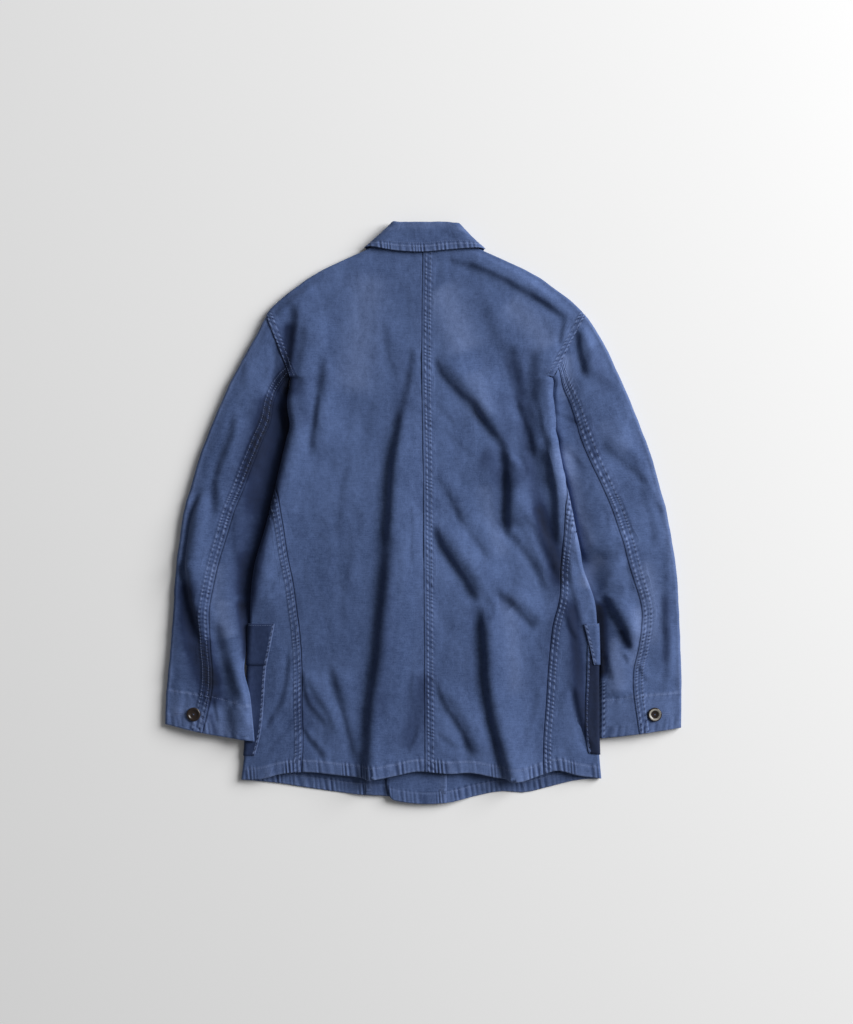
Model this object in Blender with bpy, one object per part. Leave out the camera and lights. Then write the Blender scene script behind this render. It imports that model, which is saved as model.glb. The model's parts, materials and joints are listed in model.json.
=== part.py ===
"""Chore jacket laid flat on its front, with its back upwards.

Every cut piece is one thin closed solid. The frame is +X to the viewer's right, +Y from the hem to the
collar and +Z up, with the origin in the middle of the jacket's box on the surface that it lies on.
The jacket is read as three flattened tubes: the body and two sleeves. A point of the body is given by
its row, from the hem to the neck, and by an arc, the distance along the cloth inwards from one side's
edge: above 0 over the upper layer, below 0 under the lower one. All tables are in millimetres.
"""
import math

import bmesh
import bpy
import numpy as np
from mathutils import Vector

MM = 0.001

# Cloth and seams
WALL = 1.2              # cotton twill with its turnings
SEAM_GAP = 0.34         # between two pieces at a seam
ARMHOLE_GAP = 1.2       # at the armhole, where the rims tilt
LAYER_GAP = 0.34        # between a panel and what lies on it
RIM_OVER = 0.05         # how far a rim goes past the turn of a fold
NORMAL_STEP = 0.4       # half step of the differences that give a surface's normal
TIGHT_SHARE = 40.0      # how much closer a panel's columns stand round a fold

# Rows of the body, from the hem to the neck. Those between the underarm and the shoulder tip end at
# the armhole, and the others wrap round an edge.
HEM_ROW = -366.0
HEM_BLEND = 150.0
UNDERARM_ROW = 189.0
SHOULDER_ROW = 276.0
NECK_ROW = 375.0
SIDE_ROWS = (-366, -354, -333, -305, -274, -243, -212, -188, -164, -155, -125, -92, -60, -28, 4, 36, 68,
             100, 128, 156, 184)
ARMHOLE_ROWS = (195, 220, 246, 271)
SHOULDER_ROWS = (281, 300, 302, 308, 320, 338, 352, 364, 375)

# Side edges of the body: row, left x, right x
SIDE_EDGE = (
    (-372, -253.5, 252.5),
    (-329, -248.0, 249.0),
    (-270, -245.5, 248.5),
    (-215, -243.0, 247.6),
    (-160, -240.4, 246.0),
    (-126, -239.2, 243.0),
    (-77, -234.0, 226.5),
    (-21, -218.0, 214.5),
    (29, -205.0, 206.0),
    (67, -197.0, 198.5),
    (102, -189.0, 194.5),
    (122, -183.5, 192.0),
    (150, -187.0, 189.0),
    (188, -183.5, 182.0),
)
# Shoulder edges: row, left x, right x
SHOULDER_EDGE = (
    (276, -218.0, 229.0),
    (281, -215.5, 225.5),
    (298, -199.0, 208.0),
    (316, -176.0, 184.0),
    (334, -149.5, 157.0),
    (350, -108.5, 114.5),
    (364, -70.0, 76.0),
    (375, -51.0, 55.0),
)
# Armhole seams as straight lines from the shoulder tip to the underarm
ARMHOLE = {
    "left": ((-219.4, 277.5), (-185.5, 190.5)),
    "right": ((231.0, 277.5), (184.0, 187.5)),
}
# Fold at the body's edges: row, radius, height of its centre
EDGE_FOLD = (
    (-372, 3.5, 3.6),
    (-335, 3.6, 5.3),
    (-225, 3.6, 5.4),
    (-210, 3.5, 6.9),
    (-158, 3.6, 6.9),
    (-120, 5.0, 7.2),
    (-60, 6.0, 8.5),
    (0, 6.5, 9.5),
    (188, 6.5, 9.5),
    (276, 5.5, 5.8),
    (316, 5.0, 5.6),
    (375, 4.2, 7.2),
)
# Distance over which a layer goes from its edge's height to its own: row, upper, lower. Between the
# ends of an armhole there is no edge, so the rest is given by a share: row, share
EDGE_BLEND = ((150, 38.0, 26.0), (189, 14.0, 14.0), (276, 14.0, 14.0), (292, 22.0, 26.0))
ARMHOLE_SHARE = ((189, 0.0), (206, 1.0), (262, 1.0), (276, 0.0))
# Side seam, where the front wraps on to the back: row, arc from the left edge, arc from the right edge
SIDE_SEAM = (
    (-372, 87.0, 84.0),
    (-275, 80.5, 77.0),
    (-209, 77.0, 71.5),
    (-156, 70.5, 64.0),
    (-90, 58.0, 40.0),
    (-27, 31.0, 20.0),
    (18, 12.0, 8.5),
    (45, 2.5, 2.0),
    (80, -3.0, -3.0),
    (188, -4.0, -4.0),
)
SHOULDER_SEAM_ARC = -1.0
# Centre-back seam: row, x
CENTRE_SEAM = ((-366, 4.6), (-110, 2.6), (25, 1.5), (277, 0.0), (375, 1.5))

# Lower edge of the back, measured at its own x: x, y
BACK_HEM = (
    (-254, -373.5), (-225, -372.0), (-198, -365.0), (-166, -362.0), (-106, -367.0), (-66, -370.5),
    (-35, -365.5), (-12, -361.0), (41, -364.0), (67, -362.8), (109, -370.4), (137, -374.0),
    (169, -365.3), (187, -360.2), (219, -366.8), (253, -372.0),
)
# Lower edge of each front: x, y
FRONT_HEM = {
    "left": (
        (-254, -373.5), (-203, -378.0), (-159, -385.0), (-124, -390.0), (-92, -394.0),
        (-44, -397.0), (-30, -399.0), (5, -402.0),
    ),
    "right": (
        (-50, -399.0), (-38, -402.5), (-19, -405.9), (15, -407.4), (36, -405.9), (75, -397.0), (112, -390.0),
        (145, -391.6), (180, -383.2), (221, -373.5), (253, -372.0),
    ),
}
FRONT_CORNER_RADIUS = 22.0      # the right front's lower corner is rounded
FRONT_CORNER_INSET = 12.0

# Front edges at the neck and at the hem
FRONT_EDGE = {"left": (22.0, 4.0), "right": (-22.0, -50.0)}
NECK_OPEN_ROW = 301.0           # where the front edge ends and the neckline starts
NECKLINE_TOP = 387.0
NECK_HALF_WIDTH = {"left": 44.6, "right": 48.8}
NECK_RISE = 12.0                # the neckline climbs from the centre back to the shoulder
NECK_RISE_HALF_WIDTH = 50.0
NECK_RISE_START = 334.0
FACING_INNER_X = {"left": -78.0, "right": 35.0}
FACING_TOP_ROW = 258.0

# Height of the upper layer: row, height of its outer face
UPPER_BASE = ((-400, 11.6), (-300, 12.0), (-100, 13.0), (200, 13.0), (300, 12.8), (410, 12.8))
# Height that holds the fronts off the surface: buttons, collar, pockets and flaps lie below them
PLACKET_RISE = 3.3
PLACKET_ZONE = (-80.0, 42.0, -420.0, 300.0)
COLLAR_RISE = 2.2
COLLAR_ZONE = (-96.0, 104.0, 262.0, 420.0)
POCKET_RISE = 1.64
FLAP_RISE = 3.15
POCKET_ZONE = (92.0, 300.0, -367.0, -150.0)     # distance from the middle, then y
FLAP_ZONE = (92.0, 300.0, -218.0, -150.0)
POCKET_BLEND = 22.0
RISE_BLEND = 34.0
OVERLAP_RISE = 3.1              # right front over the left front and its facing
OVERLAP_X = 42.0

# Hip pockets on the fronts: row, arc of the rear edge from the left edge, from the right edge
POCKET_REAR = ((-333, 17.0, 17.0), (-311, 22.0, 20.5), (-212, 28.0, 17.5), (-164, 33.0, 16.0))
POCKET_ROWS = (-333, -305, -274, -243, -212, -188, -164)
FLAP_REAR = {"left": ((-212, 28.5), (-155, 37.0)), "right": ((-212, 8.5), (-155, 21.0))}
FLAP_ROWS = (-212, -188, -164, -155)
POCKET_FRONT_ARC = -150.0

# Main folds of the upper layer. A fold is a ridge along a line from its upper to its lower end. Its
# reach is to the left and to the right of the line: the short reach is its steep side.
FOLDS = (
    # height, left reach, right reach, points
    (9.0, 15.0, 36.0, ((-8, 185), (-24, 102), (-33, 18), (-41, -108), (-50, -192), (-61, -276), (-68, -365))),
    (8.0, 12.0, 26.0, ((28, 222), (68, 175), (99, 137), (120, 99))),
    (8.0, 12.0, 22.0, ((134, 78), (135, 32), (130, -22))),
    (4.0, 12.0, 26.0, ((-126, 210), (-133, 144), (-143, 76))),
    (6.5, 12.0, 26.0, ((-160, 290), (-156, 249), (-163, 214), (-172, 179), (-174, 120))),
    (4.0, 9.0, 16.0, ((50, 362), (103, 337), (152, 316), (198, 289))),
    (5.0, 10.0, 9.0, ((152, 162), (159, 116), (170, 81), (179, 40))),
    (4.0, 9.0, 13.0, ((130, 24), (141, -3), (160, -45), (182, -96))),
    (7.0, 11.0, 26.0, ((30, -16), (57, -55), (79, -87), (94, -116))),
    (7.5, 11.0, 30.0, ((99, -112), (97, -178), (100, -234), (110, -283), (128, -365))),
    (4.0, 8.0, 15.0, ((120, -108), (148, -129), (177, -156))),
    (4.5, 9.0, 18.0, ((32, -242), (54, -269), (71, -301), (87, -345))),
    (2.5, 8.0, 15.0, ((40, 48), (62, 4), (90, -38), (111, -68))),
    (3.0, 7.0, 11.0, ((-160, -220), (-145, -251), (-125, -279), (-111, -316))),
    (3.0, 8.0, 17.0, ((-117, -214), (-101, -262), (-90, -311), (-85, -350))),
    (5.0, 12.0, 18.0, ((-148, 320), (-190, 300), (-212, 285))),
    # left sleeve
    (3.5, 8.0, 16.0, ((-253, 146), (-262, 102), (-276, 67), (-281, 32), (-281, -14))),
    (8.0, 12.0, 21.0, ((-303, 28), (-311, -24), (-316, -73), (-310, -122), (-298, -176))),
    (6.0, 16.0, 10.0, ((-270, -96), (-265, -122), (-254, -192), (-245, -252))),
    # right sleeve
    (5.0, 8.0, 18.0, ((229, 262), (236, 228), (240, 190))),
    (4.0, 9.0, 17.0, ((250, 116), (281, 94), (306, 78), (324, 49), (333, 0))),
    (3.0, 10.0, 10.0, ((350, -34), (354, -122), (354, -250))),
    (5.0, 21.0, 10.0, ((291, -28), (264, -69), (241, -107))),
    (8.0, 12.0, 15.0, ((264, -114), (286, -144), (305, -182))),
)
FOLD_TAPER = 0.22               # share of a fold's length over which it rises at each end

# Sleeves, from the armhole to the wrist: outer x and y, inner y, inner edge's distance inside the
# body's edge (negative outside), elbow seam (share of the way over the top), outer fold radius, inner
# fold radius, height of the inner fold's centre, lift where the wrist lies on the body
SLEEVE = {
    "left": (
        (-219.4, 277.5, 190.5, -1.6, 0.94, 5.5, 6.2, 9.0, 0.0),
        (-251, 224, 172, -1.0, 0.83, 5.5, 2.6, 3.2, 0.0),
        (-281, 170, 147, 2.0, 0.762, 5.5, 1.6, 1.8, 0.0),
        (-313, 90, 77, 2.0, 0.685, 5.5, 1.6, 1.8, 0.0),
        (-327, 39, 32, 2.0, 0.632, 5.5, 1.6, 1.8, 0.0),
        (-337, 6, -3, 2.0, 0.597, 5.5, 1.6, 1.8, 0.0),
        (-344, -44, -49, 2.0, 0.568, 5.5, 1.6, 1.8, 0.0),
        (-350, -93, -96, 1.6, 0.536, 5.5, 1.6, 1.8, 0.0),
        (-354.5, -143, -134, -1.0, 0.518, 5.5, 1.6, 2.0, 0.0),
        (-358, -185, -186, -4.4, 0.56, 5.0, 2.0, 6.5, 4.0),
        (-360.5, -218, -222, -4.0, 0.60, 5.0, 2.0, 12.9, 10.5),
        (-362.3, -251, -258, 6.0, 0.555, 4.6, 2.0, 13.6, 11.4),
        (-364.45, -301, -319, 14.0, 0.447, 4.2, 2.0, 13.6, 11.4),
    ),
    "right": (
        (231.0, 277.5, 187.5, -1.6, 0.815, 5.5, 6.2, 9.0, 0.0),
        (251, 245, 166, -1.0, 0.83, 5.5, 2.6, 3.2, 0.0),
        (286, 178, 141, 2.0, 0.78, 5.5, 1.6, 1.8, 0.0),
        (313, 109, 95, 2.0, 0.73, 5.5, 1.6, 1.8, 0.0),
        (333, 39, 32, 2.0, 0.62, 5.5, 1.6, 1.8, 0.0),
        (343, 2, -3, 2.0, 0.567, 5.5, 1.6, 1.8, 0.0),
        (351.5, -44, -49, 2.0, 0.523, 5.5, 1.6, 1.8, 0.0),
        (358, -93, -97, 1.6, 0.495, 5.5, 1.6, 1.8, 0.0),
        (361.5, -143, -134, -1.0, 0.47, 5.5, 2.0, 2.4, 0.0),
        (363, -185, -186, -4.4, 0.532, 5.0, 3.6, 4.0, 0.0),
        (363.6, -217, -221, -4.2, 0.597, 5.0, 4.6, 5.0, 0.0),
        (364.2, -251, -258, -3.0, 0.595, 4.6, 4.6, 5.0, 0.0),
        (364.2, -302, -315.5, -2.8, 0.532, 4.2, 4.2, 4.6, 0.0),
    ),
}
SLEEVE_RINGS = (0, 0.4, 1, 1.6, 2.2, 2.8, 3.4, 4, 5, 6, 7, 8, 8.6, 9.2, 10, 11, 12)
SLEEVE_WIDTH = 93.0             # across the flattened tube, for gaps and the spread of columns
SLEEVE_TIGHT = 0.35
FOREARM_SEAM = -0.45            # hidden seam under the sleeve, as a share of its width
LIFT_BLEND = 30.0
SLEEVE_LIFT_ABOVE = 0.6        # share of the lift that reaches the upper layer
# Distance over which a sleeve's layers leave the height of its folds: usual, at the head, at the wrist
OUTER_BLEND = (22.0, 14.0)
INNER_BLEND = (46.0, 14.0, 24.0)
INNER_BLEND_BELOW = 22.0
HEAD_PLACES = 1.5
WRIST_PLACE = 9.0
TURN_STEP = 0.004
PLACE_STEP = 0.02

# Collar: places along it from one front end round the back to the other. neck is where its stand is
# sewn on, roll its fold, edge the free edge of its fall. outward turns from up (0) to down (180).
COLLAR = (
    # neck x, y, z,        roll x, y, z,         edge x, y, z,         outward, half fold
    (-3.0, 302.8, 4.6, -3.0, 326.0, 4.5, -45.0, 268.0, 0.5, 180, 2.0),
    (-25.0, 318.6, 4.6, -19.0, 341.0, 4.5, -66.0, 292.0, 0.5, 180, 2.0),
    (-38.4, 350.0, 4.6, -26.0, 372.0, 4.6, -76.0, 338.0, 0.5, 180, 2.0),
    (-43.2, 387.4, 4.6, -32.0, 402.5, 4.8, -77.5, 369.0, 0.6, 170, 2.1),
    (-55.0, 390.2, 7.4, -35.0, 404.0, 9.0, -79.4, 372.0, 8.7, 90, 2.8),
    (-45.0, 386.2, 11.6, -33.0, 406.1, 12.0, -68.0, 372.4, 16.6, 15, 3.0),
    (-28.0, 379.4, 11.9, -25.0, 406.8, 12.2, -36.0, 367.0, 17.3, 0, 3.0),
    (1.5, 375.9, 12.0, 1.5, 406.6, 12.4, 1.5, 365.2, 17.5, 0, 3.0),
    (30.0, 379.8, 11.9, 33.5, 407.2, 12.2, 37.0, 368.2, 17.3, 0, 3.0),
    (48.0, 386.4, 11.6, 45.0, 404.8, 12.0, 76.0, 371.0, 16.6, 15, 3.0),
    (60.0, 390.2, 7.4, 48.0, 401.8, 9.0, 88.6, 370.0, 8.6, 90, 2.8),
    (47.4, 387.4, 6.4, 42.5, 399.0, 6.4, 86.5, 367.0, 0.8, 170, 2.8),
    (42.4, 350.0, 7.6, 32.0, 372.0, 7.6, 82.0, 336.0, 0.5, 180, 3.5),
    (28.5, 318.6, 7.7, 23.0, 341.0, 7.6, 71.0, 292.0, 0.5, 180, 3.5),
    (4.0, 302.8, 7.7, 4.0, 326.0, 7.6, 46.0, 268.0, 0.5, 180, 3.5),
)
COLLAR_STEPS = 2                # rings between two places
COLLAR_OUTWARD = {"left": (-0.64, 0.77), "right": (0.70, 0.71)}

# Buttons
BUTTON_RADIUS = 9.8
# share of the radius, share of the thickness, from the lower face to the dished top
BUTTON_PROFILE = ((0.85, 0.0), (1.0, 0.35), (0.92, 1.0), (0.64, 0.72))
BUTTON_THICKNESS = 2.9
BUTTON_SIDES = 16
FRONT_BUTTON_ROWS = (284.0, 170.0, 56.0, -58.0, -172.0)
CUFF_BUTTON = {"left": (-318.5, -281.4), "right": (326.0, -281.7)}
CUFF_PAD_REACH = 26.0           # the cloth under a cuff button is smooth

CLOTH_COLOUR = (0.060, 0.098, 0.240, 1.0)
BUTTON_COLOUR = (0.030, 0.020, 0.016, 1.0)


# ---------------------------------------------------------------- small functions

def smoothstep(value):
    """0 to 1 with level ends."""
    value = np.clip(value, 0.0, 1.0)
    return value * value * (3.0 - 2.0 * value)


def curve_through(rows, column=None):
    """A smooth function through a table whose first column is the place."""
    table = np.array(rows, dtype=float)
    keys = table[:, 0]
    values = table[:, 1:] if column is None else table[:, column]
    slopes = np.gradient(values, keys, axis=0)

    def value_at(place):
        place = np.clip(np.asarray(place, dtype=float), keys[0], keys[-1])
        index = np.clip(np.searchsorted(keys, place, side="right") - 1, 0, len(keys) - 2)
        span = keys[index + 1] - keys[index]
        share = (place - keys[index]) / span
        if column is None:
            share, span = share[..., None], span[..., None]
        rest = 1.0 - share
        return (values[index] * (1.0 + 2.0 * share) * rest ** 2
                + values[index + 1] * share ** 2 * (3.0 - 2.0 * share)
                + slopes[index] * span * share * rest ** 2
                - slopes[index + 1] * span * share ** 2 * rest)

    return value_at


def lines_through(rows, column=1):
    """A function of straight lines through a table."""
    table = np.array(rows, dtype=float)
    return lambda place: np.interp(place, table[:, 0], table[:, column])


side_x = {"left": curve_through(SIDE_EDGE, 1), "right": curve_through(SIDE_EDGE, 2)}
shoulder_x = {"left": curve_through(SHOULDER_EDGE, 1), "right": curve_through(SHOULDER_EDGE, 2)}
edge_radius = lines_through(EDGE_FOLD, 1)
edge_height = lines_through(EDGE_FOLD, 2)
upper_blend = lines_through(EDGE_BLEND, 1)
lower_blend = lines_through(EDGE_BLEND, 2)
armhole_share = lines_through(ARMHOLE_SHARE)
seam_arc = {"left": curve_through(SIDE_SEAM, 1), "right": curve_through(SIDE_SEAM, 2)}
centre_x = curve_through(CENTRE_SEAM, 1)
back_hem_y = curve_through(BACK_HEM, 1)
front_hem_y = {side: curve_through(rows, 1) for side, rows in FRONT_HEM.items()}
upper_base = curve_through(UPPER_BASE, 1)
SIGN = {"left": -1.0, "right": 1.0}


def ridge(x, y, left_reach, right_reach, points, start_taper, end_taper):
    """A ridge of height 1 along a line of points. A taper is the share of its length over which it
    rises at that end."""
    points = np.array(points, dtype=float)
    steps = np.diff(points, axis=0)
    lengths = np.hypot(steps[:, 0], steps[:, 1])
    walked = np.concatenate(([0.0], np.cumsum(lengths)))
    shape = np.broadcast(x, y).shape
    nearest, signed, place = np.full(shape, np.inf), np.zeros(shape), np.zeros(shape)
    for index, (dx, dy) in enumerate(steps):
        from_x, from_y = x - points[index, 0], y - points[index, 1]
        share = np.clip((from_x * dx + from_y * dy) / lengths[index] ** 2, 0.0, 1.0)
        distance = np.hypot(from_x - share * dx, from_y - share * dy)
        closer = distance < nearest
        nearest = np.where(closer, distance, nearest)
        signed = np.where(closer, dx * from_y - dy * from_x, signed)
        place = np.where(closer, walked[index] + share * lengths[index], place)
    place = place / walked[-1]
    taper = np.ones(shape)
    if start_taper > 0.0:
        taper = taper * smoothstep(place / start_taper)
    if end_taper > 0.0:
        taper = taper * smoothstep((1.0 - place) / end_taper)
    reach = np.where(signed > 0.0, right_reach, left_reach)
    return taper * np.exp(-(nearest / reach) ** 2)


def fold_height(x, y):
    """Height that the folds add at a place."""
    total = np.zeros(np.broadcast(x, y).shape)
    for height, left_reach, right_reach, points in FOLDS:
        end_taper = 0.0 if points[-1][1] <= HEM_ROW + 2.0 else FOLD_TAPER
        total += height * ridge(x, y, left_reach, right_reach, points, FOLD_TAPER, end_taper)
    return total


def upper_height(x, y):
    """Height of the outer face of the upper layer, away from its edges."""
    folds = fold_height(x, y)
    for button_x, button_y in CUFF_BUTTON.values():
        away = np.hypot(x - button_x, y - button_y)
        folds = folds * smoothstep((away - BUTTON_RADIUS) / CUFF_PAD_REACH)
    return upper_base(y) + folds


def window(value, low, high, blend):
    """1 between low and high, falling to 0 over the blend outside."""
    outside = np.maximum(low - value, value - high)
    return smoothstep(1.0 - outside / blend)


def zone(x, y, box, blend):
    """1 inside a box given as its low x, high x, low y and high y, falling to 0 outside."""
    return window(x, box[0], box[1], blend) * window(y, box[2], box[3], blend)


def front_height(x, y, side):
    """Height of the outer, lower face of a front, away from its edges."""
    placket = PLACKET_RISE * zone(x, y, PLACKET_ZONE, RISE_BLEND)
    collar = COLLAR_RISE * zone(x, y, COLLAR_ZONE, RISE_BLEND)
    outside = np.abs(x)
    pocket = POCKET_RISE * zone(outside, y, POCKET_ZONE, POCKET_BLEND)
    flap = FLAP_RISE * zone(outside, y, FLAP_ZONE, POCKET_BLEND)
    height = np.maximum(np.maximum(placket, collar), np.maximum(pocket, flap))
    if side == "right":
        height = height + OVERLAP_RISE * (1.0 - smoothstep((x - OVERLAP_X) / RISE_BLEND))
    return height


# ---------------------------------------------------------------- the body as a tube

def armhole_x(row, side):
    """The armhole seam's x at a row."""
    (tip_x, tip_y), (under_x, under_y) = ARMHOLE[side]
    share = (tip_y - row) / (tip_y - under_y)
    return tip_x + share * (under_x - tip_x)


def body_edge(row, side):
    """The silhouette's x at a row. In the armhole rows it is one fold radius beyond the seam."""
    row = np.asarray(row, dtype=float)
    beyond = armhole_x(row, side) + SIGN[side] * (edge_radius(row) - ARMHOLE_GAP)
    edge = np.where(row < UNDERARM_ROW, side_x[side](row), shoulder_x[side](row))
    in_armhole = (row > UNDERARM_ROW) & (row < SHOULDER_ROW)
    return np.where(in_armhole, beyond, edge)


def row_to_y(row, x, upper, side):
    """A row's y at x. The lowest rows follow the hem, and the top rows the neckline."""
    hem = back_hem_y(x) if upper else front_hem_y[side](x)
    near_hem = 1.0 - smoothstep((row - HEM_ROW) / HEM_BLEND)
    near_neck = np.clip((row - NECK_RISE_START) / (NECK_ROW - NECK_RISE_START), 0.0, 1.0)
    rise = NECK_RISE * np.clip(np.abs(x) / NECK_RISE_HALF_WIDTH, 0.0, 1.0) ** 2
    return row + (hem - HEM_ROW) * near_hem + rise * near_neck


def body_point(arc, row, side):
    """A point of the body's outer face. The arc runs inwards from one side's edge: above 0 over the
    upper layer, below 0 under the lower one."""
    arc, row = np.broadcast_arrays(np.asarray(arc, dtype=float), np.asarray(row, dtype=float))
    radius, centre = edge_radius(row), edge_height(row)
    turn = np.clip(arc / radius, -math.pi / 2, math.pi / 2)
    flat = np.maximum(np.abs(arc) - radius * math.pi / 2, 0.0)
    inset = radius * (1.0 - np.cos(turn)) + flat
    x = body_edge(row, side) - SIGN[side] * inset
    y_upper = row_to_y(row, x, True, side)
    y_lower = row_to_y(row, x, False, side)
    y = np.where(arc > 0.0, y_upper, y_lower)
    rounded = centre + radius * np.sin(turn)
    away = armhole_share(row)
    upper = away + (1.0 - away) * smoothstep(flat / upper_blend(row))
    lower = away + (1.0 - away) * smoothstep(flat / lower_blend(row))
    z_upper = rounded + (upper_height(x, y) - rounded) * upper
    z_lower = rounded + (front_height(x, y, side) - rounded) * lower
    return np.stack([x, y, np.where(arc > 0.0, z_upper, z_lower)], axis=-1)


def outward_normals(point_at, arc, row, flip):
    """Unit normals of a tube's outer face from central differences."""
    along_arc = point_at(arc + NORMAL_STEP, row) - point_at(arc - NORMAL_STEP, row)
    along_row = point_at(arc, row + NORMAL_STEP) - point_at(arc, row - NORMAL_STEP)
    normals = np.cross(along_arc, along_row) * flip
    return normals / np.linalg.norm(normals, axis=-1, keepdims=True)


def spread(start, end, count, tight_places):
    """Places from start to end, closer together at the tight places (centre, reach, radius)."""
    fine = np.linspace(start, end, 301)
    density = np.ones_like(fine)
    for centre, reach, radius in tight_places:
        density += np.where(np.abs(fine - centre) < reach, TIGHT_SHARE / radius, 0.0)
    walked = np.concatenate(([0.0], np.cumsum((density[1:] + density[:-1]) / 2.0)))
    return np.interp(np.linspace(0.0, walked[-1], count + 1), walked, fine)


def arc_of_x(x, row, side):
    """The arc on a flat part at x."""
    inset = SIGN[side] * (body_edge(row, side) - x)
    return inset - edge_radius(row) + edge_radius(row) * math.pi / 2


def body_grid(rows, ends_at, count, side):
    """Points and normals of a panel whose ends_at(row) gives its two arcs, from low to high."""
    arcs = np.array([
        spread(*ends_at(row), count, [(0.0, edge_radius(row) * math.pi / 2, edge_radius(row))])
        for row in rows
    ])
    row_grid = np.broadcast_to(np.array(rows, dtype=float)[:, None], arcs.shape)
    point_at = lambda arc, row: body_point(arc, row, side)
    # the arc runs to -X on the right, so that side's normals are flipped
    normals = outward_normals(point_at, arcs, row_grid, -SIGN[side])
    return body_point(arcs, row_grid, side), normals


# ---------------------------------------------------------------- solids

def new_material(name, colour, roughness):
    """A plain Principled BSDF."""
    material = bpy.data.materials.new(name)
    material.use_nodes = True
    shader = material.node_tree.nodes["Principled BSDF"]
    shader.inputs["Base Color"].default_value = colour
    shader.inputs["Roughness"].default_value = roughness
    return material


def add_mesh(name, points_mm, faces, material):
    """An object from points in millimetres."""
    mesh = bpy.data.meshes.new(name)
    mesh.from_pydata([tuple(point) for point in np.asarray(points_mm) * MM], [], faces)
    mesh.materials.append(material)
    mesh.validate()
    piece = bpy.data.objects.new(name, mesh)
    bpy.context.collection.objects.link(piece)
    mesh.shade_smooth()
    return piece


def add_sheet(name, outer, normals, material, lift=0.0):
    """A closed wall from a grid of outer points, moved out by the lift."""
    outer = outer + normals * lift
    inner = outer - normals * WALL
    rows, columns = outer.shape[:2]
    points = np.concatenate([outer.reshape(-1, 3), inner.reshape(-1, 3)])
    total = rows * columns
    at = lambda row, column: row * columns + column
    # one triangle pair a cell, with the same diagonal on both faces
    middle = outer[rows // 2, columns // 2]
    beside = outer[rows // 2, columns // 2 + 1] - middle
    above = outer[rows // 2 + 1, columns // 2] - middle
    forward = float(np.dot(np.cross(beside, above), normals[rows // 2, columns // 2])) > 0.0
    faces = []
    for row in range(rows - 1):
        for column in range(columns - 1):
            a, b = at(row, column), at(row, column + 1)
            c, d = at(row + 1, column + 1), at(row + 1, column)
            for face in ((a, b, c), (a, c, d)):
                faces.append(face)
                faces.append(tuple(total + corner for corner in reversed(face)))
    border = [at(0, column) for column in range(columns)]
    border += [at(row, columns - 1) for row in range(1, rows)]
    border += [at(rows - 1, column) for column in range(columns - 2, -1, -1)]
    border += [at(row, 0) for row in range(rows - 2, 0, -1)]
    for start, end in zip(border, border[1:] + border[:1]):
        faces.append((end, start, total + start))
        faces.append((end, total + start, total + end))
    if not forward:
        faces = [tuple(reversed(face)) for face in faces]
    return add_mesh(name, points, faces, material)


def add_button(name, centre, normal, material):
    """A turned button with a raised rim. The centre is the middle of its lower face."""
    mesh = bmesh.new()
    rings = []
    for radius_share, height_share in BUTTON_PROFILE:
        ring = []
        for side in range(BUTTON_SIDES):
            angle = 2.0 * math.pi * side / BUTTON_SIDES
            radius = BUTTON_RADIUS * radius_share
            ring.append(mesh.verts.new((radius * math.cos(angle), radius * math.sin(angle),
                                        BUTTON_THICKNESS * height_share)))
        rings.append(ring)
    for lower, upper in zip(rings, rings[1:]):
        for side in range(BUTTON_SIDES):
            after = (side + 1) % BUTTON_SIDES
            mesh.faces.new((lower[side], lower[after], upper[after], upper[side]))
    for ring, height_share, order in ((rings[0], 0.0, 1), (rings[-1], BUTTON_PROFILE[-1][1], -1)):
        hub = mesh.verts.new((0.0, 0.0, BUTTON_THICKNESS * height_share))
        for side in range(BUTTON_SIDES):
            after = (side + 1) % BUTTON_SIDES
            corners = (ring[after], ring[side], hub)
            mesh.faces.new(corners if order == 1 else tuple(reversed(corners)))
    turn = Vector((0.0, 0.0, 1.0)).rotation_difference(Vector(normal)).to_matrix()
    for vertex in mesh.verts:
        vertex.co = (turn @ vertex.co + Vector(centre)) * MM
    data = bpy.data.meshes.new(name)
    mesh.to_mesh(data)
    mesh.free()
    data.materials.append(material)
    data.shade_smooth()
    piece = bpy.data.objects.new(name, data)
    bpy.context.collection.objects.link(piece)
    return piece


# ---------------------------------------------------------------- body pieces

def back_start(row, side):
    """The arc where the back ends at the side seam, the armhole or the shoulder."""
    if row < UNDERARM_ROW:
        return float(seam_arc[side](row)) + SEAM_GAP / 2
    if row < SHOULDER_ROW:
        return float(edge_radius(row)) * math.pi / 2 + RIM_OVER
    return SHOULDER_SEAM_ARC + SEAM_GAP / 2


def front_start(row, side):
    """The arc where the front ends at the same seams."""
    if row < UNDERARM_ROW:
        return float(seam_arc[side](row)) - SEAM_GAP / 2
    if row < SHOULDER_ROW:
        return -float(edge_radius(row)) * math.pi / 2 - RIM_OVER
    return SHOULDER_SEAM_ARC - SEAM_GAP / 2


def front_edge_x(row, side):
    """The front's free edge, then the neckline above it."""
    if row > NECK_OPEN_ROW:
        drop = (NECKLINE_TOP - row) / (NECKLINE_TOP - NECK_OPEN_ROW)
        return SIGN[side] * NECK_HALF_WIDTH[side] * math.sqrt(max(0.0, 1.0 - drop ** 2))
    at_neck, at_hem = FRONT_EDGE[side]
    share = (row - HEM_ROW) / (NECK_OPEN_ROW - HEM_ROW)
    corner = 0.0
    if side == "right":
        above = min(max((row - HEM_ROW) / FRONT_CORNER_RADIUS, 0.0), 1.0)
        corner = FRONT_CORNER_INSET * (1.0 - math.sqrt(1.0 - (1.0 - above) ** 2))
    return at_hem + share * (at_neck - at_hem) + corner


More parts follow.
